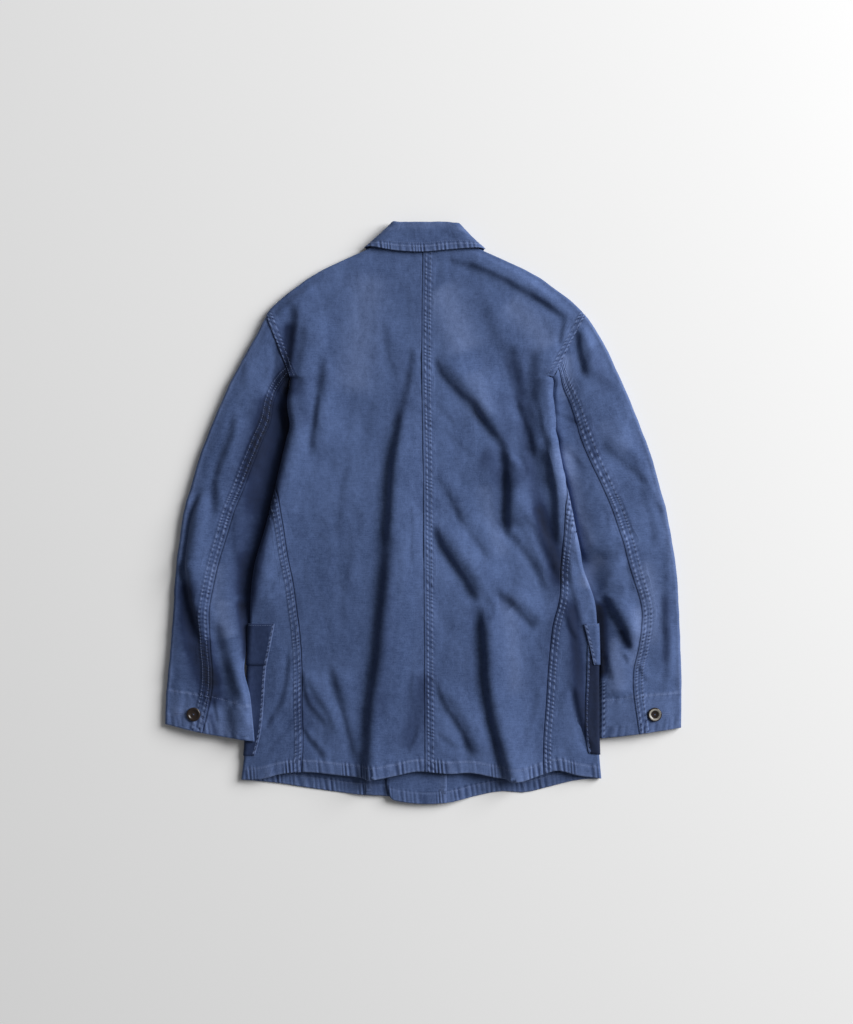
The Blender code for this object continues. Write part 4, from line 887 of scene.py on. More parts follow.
def sleeve_point(turn, place, side):
    """A point of a sleeve's outer face. The turn is 0 at the outer edge, 1 at the inner edge over the
    top, and 2 at the outer edge again after the lower layer."""
    turn, place = np.broadcast_arrays(np.asarray(turn, dtype=float), np.asarray(place, dtype=float))
    outer_x, outer_y, inner_x, inner_y, rest = sleeve_frame(place, side)
    outer_radius, inner_radius = rest[..., 1], rest[..., 2]
    inner_centre, lift = rest[..., 3], rest[..., 4]
    width = np.hypot(inner_x - outer_x, inner_y - outer_y)
    quarter_outer, quarter_inner = outer_radius * math.pi / 2, inner_radius * math.pi / 2
    length = width - outer_radius - inner_radius + quarter_outer + quarter_inner
    below = (turn < 0.0) | (turn > 1.0)
    over = np.where(turn > 1.0, 2.0 - turn, np.abs(turn))
    arc = over * length
    outer_turn = np.clip(arc / outer_radius, 0.0, math.pi / 2)
    inner_turn = np.clip((length - arc) / inner_radius, 0.0, math.pi / 2)
    flat = np.clip(arc - quarter_outer, 0.0, length - quarter_outer - quarter_inner)
    flat_length = length - quarter_outer - quarter_inner
    across = outer_radius * (1.0 - np.cos(outer_turn)) + flat + inner_radius * np.cos(inner_turn)
    share = across / width
    x = outer_x + (inner_x - outer_x) * share
    y = outer_y + (inner_y - outer_y) * share
    updown = np.where(below, -1.0, 1.0)
    outer_z = outer_radius * (1.0 + updown * np.sin(outer_turn))
    inner_z = inner_centre + updown * inner_radius * np.sin(inner_turn)
    beyond_body = SIGN[side] * (x - side_x[side](np.minimum(y, UNDERARM_ROW - 1.0)))
    lifted = lift * smoothstep(1.0 - (beyond_body - 3.0) / LIFT_BLEND)
    at_head = smoothstep(1.0 - place / HEAD_PLACES)
    at_wrist = smoothstep(place - WRIST_PLACE)
    usual, head, wrist = INNER_BLEND
    inner_blend = usual + (head - usual) * at_head + (wrist - usual) * at_wrist
    inner_blend = np.where(below, INNER_BLEND_BELOW, inner_blend)
    outer_blend = OUTER_BLEND[0] + (OUTER_BLEND[1] - OUTER_BLEND[0]) * at_head
    middle = np.where(below, lifted, upper_height(x, y) + SLEEVE_LIFT_ABOVE * lifted)
    from_outer = smoothstep(flat / outer_blend)
    from_inner = smoothstep((flat_length - flat) / inner_blend)
    z = outer_z + (middle - outer_z) * from_outer
    z = inner_z + (z - inner_z) * from_inner
    return np.stack([x, y, z], axis=-1)


# ---------------------------------------------------------------- fine relief of the cloth

LATTICE = np.random.default_rng(5).uniform(0.0, 2.0 * math.pi, (64, 64))


def noise(u, v, shift=0.0):
    """Smooth noise from -1 to 1 whose lumps are one unit wide."""
    u = np.asarray(u, dtype=float) + 7.3 * shift
    v = np.asarray(v, dtype=float) + 3.1 * shift
    u, v = np.broadcast_arrays(u, v)
    low_u, low_v = np.floor(u).astype(int), np.floor(v).astype(int)
    part_u, part_v = u - low_u, v - low_v

    def corner(step_u, step_v):
        angle = LATTICE[(low_u + step_u) % 64, (low_v + step_v) % 64]
        return np.cos(angle) * (part_u - step_u) + np.sin(angle) * (part_v - step_v)

    mix_u, mix_v = smoothstep(part_u), smoothstep(part_v)
    near = corner(0, 0) + (corner(1, 0) - corner(0, 0)) * mix_u
    far = corner(0, 1) + (corner(1, 1) - corner(0, 1)) * mix_u
    return 1.5 * (near + (far - near) * mix_v)


def dome(x, y):
    """Height of the slight rise from the sides to the middle of the body."""
    return DOME_HEIGHT * np.exp(-(x / DOME_REACH) ** 2) * (1.0 - smoothstep((y - DOME_TOP) / DOME_FADE))


def washed(u, v, seed):
    """Height of the soft creases that washing leaves."""
    bend = 9.0 * noise(u / 60.0, v / 60.0, seed + 3.0)
    wide = noise((u + bend) / 34.0, v / 70.0, seed)
    small = noise((u + bend) / 13.0, (v + bend) / 21.0, seed + 1.0)
    fine = noise(u / 6.5, v / 8.0, seed + 2.0)
    return WASH_WIDE * wide + WASH_SMALL * small + WASH_FINE * fine


def from_photo(points):
    """Places in millimetres of a line's points in the photo's pixels, with its corners rounded."""
    line = (np.array(points, dtype=float) - PHOTO_ORIGIN) * (PIXEL, -PIXEL)
    for _ in range(1):
        cut = np.stack([0.75 * line[:-1] + 0.25 * line[1:], 0.25 * line[:-1] + 0.75 * line[1:]], axis=1)
        line = np.concatenate([line[:1], cut.reshape(-1, 2)[1:-1], line[-1:]])
    return line


def along_line(x, y, line, start_taper, end_taper):
    """Signed distance from a line, positive on its right going down the photo, and a taper to its ends."""
    steps = np.diff(line, axis=0)
    lengths = np.hypot(steps[:, 0], steps[:, 1])
    walked = np.concatenate(([0.0], np.cumsum(lengths)))
    nearest, signed, place = np.full(x.shape, np.inf), np.zeros(x.shape), np.zeros(x.shape)
    for index, (dx, dy) in enumerate(steps):
        from_x, from_y = x - line[index, 0], y - line[index, 1]
        share = np.clip((from_x * dx + from_y * dy) / lengths[index] ** 2, 0.0, 1.0)
        distance = np.hypot(from_x - share * dx, from_y - share * dy)
        closer = distance < nearest
        nearest = np.where(closer, distance, nearest)
        signed = np.where(closer, np.sign(dx * from_y - dy * from_x) * distance, signed)
        place = np.where(closer, walked[index] + share * lengths[index], place)
    place = place / walked[-1]
    taper = np.ones(x.shape)
    if start_taper > 0.0:
        taper = taper * smoothstep(place / start_taper)
    if end_taper > 0.0:
        taper = taper * smoothstep((1.0 - place) / end_taper)
    return signed, taper


def near(x, y, line, reach):
    """Which places may lie within three reaches of a line."""
    low, high = line.min(axis=0) - 3.0 * reach, line.max(axis=0) + 3.0 * reach
    return (x > low[0]) & (x < high[0]) & (y > low[1]) & (y < high[1])


def creases(x, y):
    """Height of the fold lines and of the broad rises."""
    x, y = np.broadcast_arrays(x, y)
    total = np.zeros(x.shape)
    for slope, half_width, left, right, points in LINES:
        line = from_photo(points)
        there = near(x, y, line, max(left, right) * PIXEL)
        end_taper = LINE_TAPER if points[-1][1] < HEM_PIXEL else 0.0
        signed, taper = along_line(x[there], y[there], line, LINE_TAPER, end_taper)
        reach = np.where(signed > 0.0, right, left) * PIXEL
        half_width = half_width * PIXEL
        step = np.tanh(signed / half_width) * np.exp(-(signed / reach) ** 2)
        total[there] += LINE_GAIN * slope * half_width * taper * step
    for height, left, right, points in ROLLS:
        line = from_photo(points)
        there = near(x, y, line, max(left, right) * PIXEL)
        signed, taper = along_line(x[there], y[there], line, ROLL_TAPER, ROLL_TAPER)
        reach = np.where(signed > 0.0, right, left) * PIXEL
        total[there] += height * taper * np.exp(-(signed / reach) ** 2)
    return total


def painted_light_and_shade(x, y):
    """Painted highlights on lit parts, painted shade in deep parts and in the cores of the fold lines."""
    x, y = np.broadcast_arrays(x, y)
    new_wear_and_highlight, shaded = np.zeros(x.shape), np.zeros(x.shape)
    for slope, half_width, left, right, points in LINES:
        line = from_photo(points)
        there = near(x, y, line, half_width * PIXEL)
        end_taper = LINE_TAPER if points[-1][1] < HEM_PIXEL else 0.0
        signed, taper = along_line(x[there], y[there], line, LINE_TAPER, end_taper)
        core = np.exp(-((signed / (half_width * PIXEL)) ** 2))
        shaded[there] = np.maximum(shaded[there], CORE_SHADE * slope * taper * core)
    for strength, left, right, points in LIGHT_AND_SHADE_STROKES:
        line = from_photo(points)
        there = near(x, y, line, max(left, right) * PIXEL)
        signed, taper = along_line(x[there], y[there], line, STROKE_TAPER, STROKE_TAPER)
        reach = np.where(signed > 0.0, right, left) * PIXEL
        amount = STROKE_GAIN * abs(strength) * taper * np.exp(-(signed / reach) ** 2)
        target = new_wear_and_highlight if strength > 0.0 else shaded
        target[there] += amount
    return new_wear_and_highlight, shaded


class Relief:
    """Height, fading, painted highlights, painted shade, seam rows and hem puckers of a patch of cloth."""

    def __init__(self, shape):
        self.height = np.zeros(shape)
        self.wear_and_highlight, self.shade = np.zeros(shape), np.zeros(shape)
        # across is 0 at the first stitch row and 1 at the last; along counts puckers
        self.seam, self.seam_across, self.seam_along = np.zeros(shape), np.full(shape, 9.0), np.zeros(shape)
        self.hem, self.hem_phase = np.zeros(shape), np.zeros(shape)

    def add_rows(self, across, along, share):
        """Puckered stitch rows, which the material draws."""
        stronger = share > self.seam
        self.seam_across = np.where(stronger, across, self.seam_across)
        self.seam_along = np.where(stronger, along, self.seam_along)
        self.seam = np.maximum(self.seam, share)

    def add_seam(self, inside, along, stitch_rows, seed, share=1.0):
        """A lapped seam. inside is the distance from its edge into its band."""
        first, last = stitch_rows
        band = window(inside, 0.7, last + 1.2, 1.1)
        groove = np.exp(-((inside + 0.1) / 0.9) ** 2)
        self.height += share * (SEAM_BAND * band - SEAM_GROOVE * groove)
        new_wear_and_highlight = 0.20 * np.exp(-((inside - 1.0) / 0.9) ** 2)
        self.wear_and_highlight = np.maximum(self.wear_and_highlight, share * new_wear_and_highlight)
        # painted shade in the groove at the seam's edge
        self.shade = np.maximum(self.shade, share * 0.72 * np.exp(-((inside + 0.3) / 0.9) ** 2))
        drift = 0.9 * noise(along / 23.0, 0.0, seed)
        lively = 0.80 + 0.45 * noise(along / 17.0, 4.0, seed)
        self.add_rows((inside - first) / ROW_SPACING, along / SEAM_PITCH + drift,
                      share * lively * window(inside, 0.4, last + 5.0, 3.0))

    def add_hem(self, inside, along, depth, seed, share=1.0, puckers=1.0):
        """A turned and stitched edge. inside is the distance from the edge."""
        band = 1.0 - smoothstep((inside - depth) / 1.4 + 0.5)
        pull = np.exp(-((inside - depth + HEM_STITCH_INSET) / 1.2) ** 2)
        self.height += share * (HEM_BAND * band - SEAM_PULL * pull)
        new_wear_and_highlight = 0.40 * np.exp(-(inside / 1.8) ** 2) + 0.60 * np.exp(-((inside - depth + 0.4) / 0.8) ** 2)
        self.wear_and_highlight = np.maximum(self.wear_and_highlight, share * (new_wear_and_highlight + 0.12 * band))
        near_edge = window(inside, 1.0, min(depth, HEM_DEPTH) - 3.0, 4.0)
        near_line = 0.7 * window(inside, depth - 5.0, depth - 1.0, 7.0)
        strength = share * puckers * np.maximum(near_edge, near_line)
        phase = (along + HEM_SKEW * inside) / HEM_PITCH + 1.6 * noise(along / 26.0, 2.0, seed)
        strength = strength * np.clip(0.55 + 1.3 * noise(along / 12.0, 6.0, seed), 0.05, 1.3)
        # painted shadow along the inner edge of the turned band
        line = 0.35 * np.exp(-((inside - depth - 0.9) / 0.9) ** 2)
        self.shade = np.maximum(self.shade, share * line)
        self.hem_phase = np.where(strength > self.hem, phase, self.hem_phase)
        self.hem = np.maximum(self.hem, strength)

    def add_painted_light_and_shade(self, x, y):
        """Painted shade where the folds lie deep and painted highlights where they catch the light."""
        new_wear_and_highlight, shaded = painted_light_and_shade(x, y)
        self.wear_and_highlight = self.wear_and_highlight + new_wear_and_highlight
        self.shade = np.clip(self.shade + shaded, 0.0, DEEPEST_SHADE)

    def limit(self, share):
        """Fades the relief out where the share is 0."""
        self.height = self.height * share
        self.seam, self.hem = self.seam * share, self.hem * share
        self.shade = self.shade * share


# ---------------------------------------------------------------- surfaces: place, normal and relief

def body_surface(side, piece):
    """A function from arcs and rows to points, normals and relief."""
    seed = 1.0 if side == "left" else 2.0

    def surface(arc, row):
        arc, row = np.broadcast_arrays(np.asarray(arc, dtype=float), np.asarray(row, dtype=float))
        point = body_point(arc, row, side)
        normal = outward_normals(lambda a, r: body_point(a, r, side), arc, row, -SIGN[side])
        x, y = point[..., 0], point[..., 1]
        relief = Relief(arc.shape)
        relief.height += washed(x, y, seed) + creases(x, y) + dome(x, y)
        if piece == "back":
            relief.add_seam(x - centre_x(row), y, CENTRE_STITCHES, 11.0)
            inside = SIGN[side] * (armhole_x(row, side) - x) * ARMHOLE_LEAN
            there = window(row, UNDERARM_ROW + ARMHOLE_FADE, SHOULDER_ROW - 4.0, ARMHOLE_FADE)
            relief.add_seam(inside, y, ARMHOLE_STITCHES, 13.0, there)
        there = 1.0 - smoothstep((row - 30.0) / 40.0)
        relief.add_seam(seam_arc[side](row) - arc, y, SIDE_STITCHES, 19.0 + 4.0 * seed, there)
        hem = back_hem_y(x)
        relief.add_hem(y - hem, x, HEM_DEPTH, 17.0)
        relief.limit(smoothstep((arc + 3.0) / 12.0))
        relief.wear_and_highlight = np.maximum(relief.wear_and_highlight, SIDE_WEAR * np.exp(-(arc / 5.0) ** 2))
        relief.add_painted_light_and_shade(x, y)
        moved = point + normal * relief.height[..., None]
        near_side = np.exp(-((x - side_x[side](row)) / SIDE_REACH) ** 2)
        moved[..., 0] += lines_through(SIDE_NUDGE[side])(row) * near_side
        return moved, normal, relief

    return surface


def front_inside(side):
    """The same for the inner face of a front, which shows under the back's hem."""
    def surface(arc, row):
        point = body_point(arc, row, side)
        normal = outward_normals(lambda a, r: body_point(a, r, side), arc, row, -SIGN[side])
        x, y = point[..., 0], point[..., 1]
        relief = Relief(arc.shape)
        lower = 1.0 - smoothstep((arc + 14.0) / 8.0)
        relief.add_hem(y - front_hem_y[side](x), x, HEM_DEPTH, 41.0, lower)
        return point - normal * (WALL + relief.height[..., None]), normal, relief

    return surface


def sleeve_surface(side):
    """A function from turns and places to points, normals and relief."""
    table = np.array(SLEEVE[side], dtype=float)
    seam_turn = curve_through(np.column_stack([np.arange(len(table)), table[:, 4]]), 1)
    last = float(len(table) - 1)

    def surface(turn, place):
        turn, place = np.broadcast_arrays(np.asarray(turn, dtype=float), np.asarray(place, dtype=float))
        point = sleeve_point(turn, place, side)
        after, before = turn + TURN_STEP, turn - TURN_STEP
        along_turn = sleeve_point(after, place, side) - sleeve_point(before, place, side)
        before, after = np.clip(place - PLACE_STEP, 0.0, last), np.clip(place + PLACE_STEP, 0.0, last)
        along_place = sleeve_point(turn, after, side) - sleeve_point(turn, before, side)
        normal = np.cross(along_turn, along_place) * SIGN[side]
        normal /= np.linalg.norm(normal, axis=-1, keepdims=True)
        x, y = point[..., 0], point[..., 1]
        relief = Relief(turn.shape)
        relief.height += washed(x, y, 5.0) + creases(x, y) + dome(x, y)
        inside = (seam_turn(place) - turn) * SLEEVE_WIDTH
        relief.add_seam(inside, place * SLEEVE_STATION, ELBOW_STITCHES, 31.0)
        vent = smoothstep((place - VENT_PLACE) / 0.25) * window(inside, 0.4, 9.0, 6.0)
        relief.height += VENT_RISE * vent
        slant = CUFF_SLANT[side] * np.maximum(turn - seam_turn(place), 0.0)
        from_wrist = (last - place) * SLEEVE_STATION + slant
        relief.add_hem(from_wrist, turn * SLEEVE_WIDTH, CUFF_DEPTH, 37.0, 1.0, CUFF_PUCKERS)
        relief.limit(window(turn, 0.03, 0.90, 0.10))
        fold_edge = (0.7 + 0.9 * noise(place, 2.0, 41.0)) * np.exp(-((turn - 0.03) * SLEEVE_WIDTH / 5.0) ** 2)
        relief.wear_and_highlight = np.maximum(relief.wear_and_highlight, EDGE_WEAR * fold_edge)
        if side == "right":
            first, last_row = INNER_STITCHES
            shown = smoothstep((place - INNER_PLACE) / 0.3)
            across = ((1.0 - turn) * SLEEVE_WIDTH - first) / (last_row - first)
            relief.add_rows(across, place * SLEEVE_STATION / SEAM_PITCH,
                            shown * window(turn, 0.88, 0.995, 0.02))
        above = (turn > 0.0) & (turn < 1.0)
        # painted shadow that the body casts on the sleeve beside it
        beyond = SIGN[side] * (x - side_x[side](np.minimum(y, UNDERARM_ROW - 1.0)))
        depth, reach = (lines_through(SLEEVE_SHADE[side], index)(y) for index in (1, 2))
        shaded = above * depth * np.exp(-(np.maximum(beyond, 0.0) / reach) ** 3)
        relief.shade = np.maximum(relief.shade, shaded)
        relief.add_painted_light_and_shade(x, y)
        tuck = HEAD_TUCK * np.exp(-(place / HEAD_TUCK_PLACES) ** 2)[..., None] * np.array(HEAD_TOWARDS[side])
        edge_share = lambda edge: np.exp(-((turn - edge) / NUDGE_TURNS) ** 2)
        moved = point + normal * relief.height[..., None] + tuck
        moved[..., 0] += lines_through(SLEEVE_NUDGE[side])(y) * edge_share(1.0)
        moved[..., 0] += lines_through(SLEEVE_TRIM[side])(y) * (edge_share(0.0) + edge_share(2.0))
        moved[..., 1] += CUFF_LIFT[side] * smoothstep(place - CUFF_LIFT_PLACE) * (
            np.exp(-(turn / CUFF_LIFT_TURNS) ** 2) + np.exp(-((turn - 2.0) / CUFF_LIFT_TURNS) ** 2))
        return moved, normal, relief

    return surface, seam_turn


def lifted(surface, lift, edge_of, stitch, seed, shade):
    """A patch on a surface, moved out by the lift. edge_of gives the distance from its sewn edge."""
    def patch(arc, row):
        point, normal, below = surface(arc, row)
        relief = Relief(point.shape[:-1])
        inside = edge_of(arc, row)
        broken = 0.75 + 0.9 * noise(row / 7.0, 3.0, seed)
        relief.wear_and_highlight = 1.3 * broken * np.exp(-(inside / 1.3) ** 2) + below.wear_and_highlight
        relief.height = below.height * 0.6 - SEAM_PULL * np.exp(-((inside - stitch) / 1.2) ** 2)
        along = row / SEAM_PITCH + 0.7 * noise(row / 21.0, 0.0, seed)
        relief.add_rows((inside - stitch) / ROW_SPACING, along, 0.8 * window(inside, 0.3, stitch + 1.0, 1.6))
        # painted shade on the patch, away from its rim
        relief.shade = np.maximum(below.shade, shade * smoothstep((inside - 1.0) / 3.0))
        base = point - normal * below.height[..., None]
        return base + normal * (lift + relief.height[..., None]), normal, relief

    return patch


# ---------------------------------------------------------------- meshes

def between(knots, counts):
    """Places between knots, with a count of equal steps in each zone."""
    places = [np.linspace(low, high, count, endpoint=False)
              for low, high, count in zip(knots, knots[1:], counts)]
    return np.concatenate(places + [np.array([knots[-1]])])


def body_places(low_row, high_row):
    """The rows between two, in the steps of the table."""
    rows = np.concatenate([np.arange(first, last, step) for first, last, step in ROWS])
    inner = rows[(rows > low_row + 0.4) & (rows < high_row - 0.4)]
    return np.concatenate(([low_row], inner, [high_row]))


def give(mesh, name, values):
    """A number for each point of a mesh."""
    attribute = mesh.attributes.new(name, "FLOAT", "POINT")
    attribute.data.foreach_set("value", np.asarray(values, dtype=np.float32))


def give_uv(mesh, places):
    """The place of each point on its cloth, in metres along the weft and the warp."""
    layer = mesh.uv_layers.new(name="cloth")
    corners = np.empty(len(mesh.loops), dtype=np.int32)
    mesh.loops.foreach_get("vertex_index", corners)
    layer.data.foreach_set("uv", places[corners].astype(np.float32).ravel())


def finish_piece(name, mesh, nodes=()):
    """The object of a mesh, riding on the part."""
    piece = bpy.data.objects.new(name, mesh)
    bpy.context.collection.objects.link(piece)
    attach(piece, "root")
    if nodes:
        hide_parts(*nodes)
    return piece


def shell(name, node, material, surface, first, second, uv, inside=None, wall=WALL):
    """A closed wall with rounded rims over a grid of a surface's two coordinates."""
    points, normals, relief = surface(first, second)
    if inside is None:
        # the inner face keeps the broad relief, so that the wall stays whole
        inner, inner_relief = points - normals * wall, Relief(first.shape)
    else:
        inner, _, inner_relief = inside(first, second)
    rows, columns = first.shape
    total = rows * columns
    at = lambda row, column: row * columns + column
    border = [(0, column) for column in range(columns)]
    border += [(row, columns - 1) for row in range(1, rows)]
    border += [(rows - 1, column) for column in range(columns - 2, -1, -1)]
    border += [(row, 0) for row in range(rows - 2, 0, -1)]
    rim = []
    for row, column in border:
        behind = points[min(max(row, 1), rows - 2), min(max(column, 1), columns - 2)]
        outwards = points[row, column] - behind
        outwards = outwards / max(np.linalg.norm(outwards), 1e-6)
        rim.append((points[row, column] + inner[row, column]) / 2.0 + outwards * RIM_ROUND)
    flat = np.concatenate([points.reshape(-1, 3), inner.reshape(-1, 3), np.array(rim)])
    middle = points[rows // 2, columns // 2]
    beside = points[rows // 2, columns // 2 + 1] - middle
    above = points[rows // 2 + 1, columns // 2] - middle
    forward = float(np.dot(np.cross(beside, above), normals[rows // 2, columns // 2])) > 0.0
    grid = np.arange(total).reshape(rows, columns)
    corners = (grid[:-1, :-1], grid[:-1, 1:], grid[1:, 1:], grid[1:, :-1])
    outer_faces = np.stack(corners, axis=-1).reshape(-1, 4)
    faces = np.concatenate([outer_faces, outer_faces[:, ::-1] + total]).tolist()
    loop = len(border)
    for index, (row, column) in enumerate(border):
        after = (index + 1) % loop
        start, end = at(row, column), at(*border[after])
        faces.append([end, start, 2 * total + index, 2 * total + after])
        faces.append([2 * total + after, 2 * total + index, total + start, total + end])
    if not forward:
        faces = [face[::-1] for face in faces]
    mesh = bpy.data.meshes.new(name)
    mesh.from_pydata((flat * MM).tolist(), [], faces)
    mesh.materials.append(material)
    mesh.shade_smooth()
    on_rim = lambda values: np.array([values[place] for place in border])
    for key, top, under, rim_add in (
        ("wear_and_highlight", relief.wear_and_highlight, inner_relief.wear_and_highlight, RIM_WEAR),
        ("seam", relief.seam, inner_relief.seam, 0.0),
        ("seam_across", relief.seam_across, inner_relief.seam_across, 0.0),
        ("seam_along", relief.seam_along, inner_relief.seam_along, 0.0),
        ("hem", relief.hem, inner_relief.hem, 0.0),
        ("hem_phase", relief.hem_phase, inner_relief.hem_phase, 0.0),
        ("shade", relief.shade, inner_relief.shade, 0.0),
    ):
        give(mesh, key, np.concatenate([top.ravel(), under.ravel(), on_rim(top) + rim_add]))
    give_uv(mesh, np.concatenate([uv.reshape(-1, 2), uv.reshape(-1, 2), on_rim(uv)]) * MM)
    return finish_piece(name, mesh, (node,))


def stitch_line(surface, first, second, pitch=STITCH_PITCH):
    """Stitches along a line of a surface: their centres, directions and normals."""
    points, normals, _ = surface(np.asarray(first, dtype=float), np.asarray(second, dtype=float))
    walked = np.concatenate(([0.0], np.cumsum(np.linalg.norm(np.diff(points, axis=0), axis=1))))
    places = np.arange(pitch / 2.0, walked[-1] - pitch / 2.0, pitch)
    at = lambda values: np.stack([np.interp(places, walked, values[:, axis]) for axis in range(3)], axis=1)
    centres, ups = at(points), at(normals)
    ahead = np.gradient(centres, axis=0)
    ahead /= np.linalg.norm(ahead, axis=1, keepdims=True)
    return centres, ahead, ups


def add_stitches(name, lines, material):
    """Stitches as one mesh of short rounded threads."""
    centres, ahead, ups = (np.concatenate([line[part] for line in lines]) for part in range(3))
    across = np.cross(ups, ahead)
    half = STITCH_LENGTH / 2.0
    # place along the thread, share of the radius, height
    stations = ((-half, 0.5, -0.16), (-half * 0.5, 1.0, 0.06), (half * 0.5, 1.0, 0.06), (half, 0.5, -0.16))
    corners = [(math.cos(turn), math.sin(turn)) for turn in np.radians((0.0, 60.0, 120.0, 180.0, 270.0))]
    rings = []
    for place, share, height in stations:
        for side, rise in corners:
            rings.append(centres + ahead * place + across * (STITCH_RADIUS * share * side)
                         + ups * (STITCH_RADIUS * share * rise + height + STITCH_RISE))
    points = np.stack(rings, axis=1)
    count, ring = len(corners), len(rings)
    pattern = []
    for station in range(len(stations) - 1):
        low, high = station * count, (station + 1) * count
        for corner in range(count):
            after = (corner + 1) % count
            pattern.append((low + corner, high + corner, high + after, low + after))
    pattern.append(tuple(range(count)))
    pattern.append(tuple(range(ring - 1, ring - count - 1, -1)))
    faces = [[index * ring + corner for corner in face]
             for index in range(len(centres)) for face in pattern]
    mesh = bpy.data.meshes.new(name)
    mesh.from_pydata((points.reshape(-1, 3) * MM).tolist(), [], faces)
    mesh.materials.append(material)
    mesh.shade_smooth()
    return finish_piece(name, mesh)


# ---------------------------------------------------------------- materials

class Graph:
    """Short names for building a material's nodes."""

    def __init__(self, name):
        self.material = bpy.data.materials.new(name)
        self.material.use_nodes = True
        self.tree = self.material.node_tree
        self.shader = self.tree.nodes["Principled BSDF"]

    def link(self, source, target):
        if hasattr(source, "is_output"):
            self.tree.links.new(source, target)
        else:
            target.default_value = source

    def node(self, kind, out=0, **inputs):
        node = self.tree.nodes.new(kind)
        for key, value in inputs.items():
            self.link(value, node.inputs[key.replace("_", " ")])
        return node.outputs[out]

    def math(self, operation, first, second=0.0, third=0.0, clamp=False):
        node = self.tree.nodes.new("ShaderNodeMath")
        node.operation, node.use_clamp = operation, clamp
        for value, socket in zip((first, second, third), node.inputs):
            self.link(value, socket)
        return node.outputs[0]

    def mix(self, share, first, second):
        node = self.tree.nodes.new("ShaderNodeMix")
        node.data_type = "RGBA"
        self.link(share, node.inputs["Factor"])
        self.link(first, node.inputs["A"])
        self.link(second, node.inputs["B"])
        return node.outputs["Result"]

    def attribute(self, name):
        node = self.tree.nodes.new("ShaderNodeAttribute")
        node.attribute_name = name
        return node.outputs["Fac"]

    def noise(self, place, scale, detail=2.0, roughness=0.5):
        return self.node("ShaderNodeTexNoise", 0, Vector=place, Scale=scale, Detail=detail,
                         Roughness=roughness)


def bell(graph, place, centre, width):
    """A bell curve round a centre."""
    off = graph.math("MULTIPLY_ADD", place, 1.0 / width, -centre / width)
    return graph.math("EXPONENT", graph.math("MULTIPLY", graph.math("MULTIPLY", off, off), -1.0))


def ripple(graph, phase, shift):
    """A cosine of a phase in waves."""
    return graph.math("COSINE", graph.math("MULTIPLY_ADD", phase, 2.0 * math.pi, 2.0 * math.pi * shift))


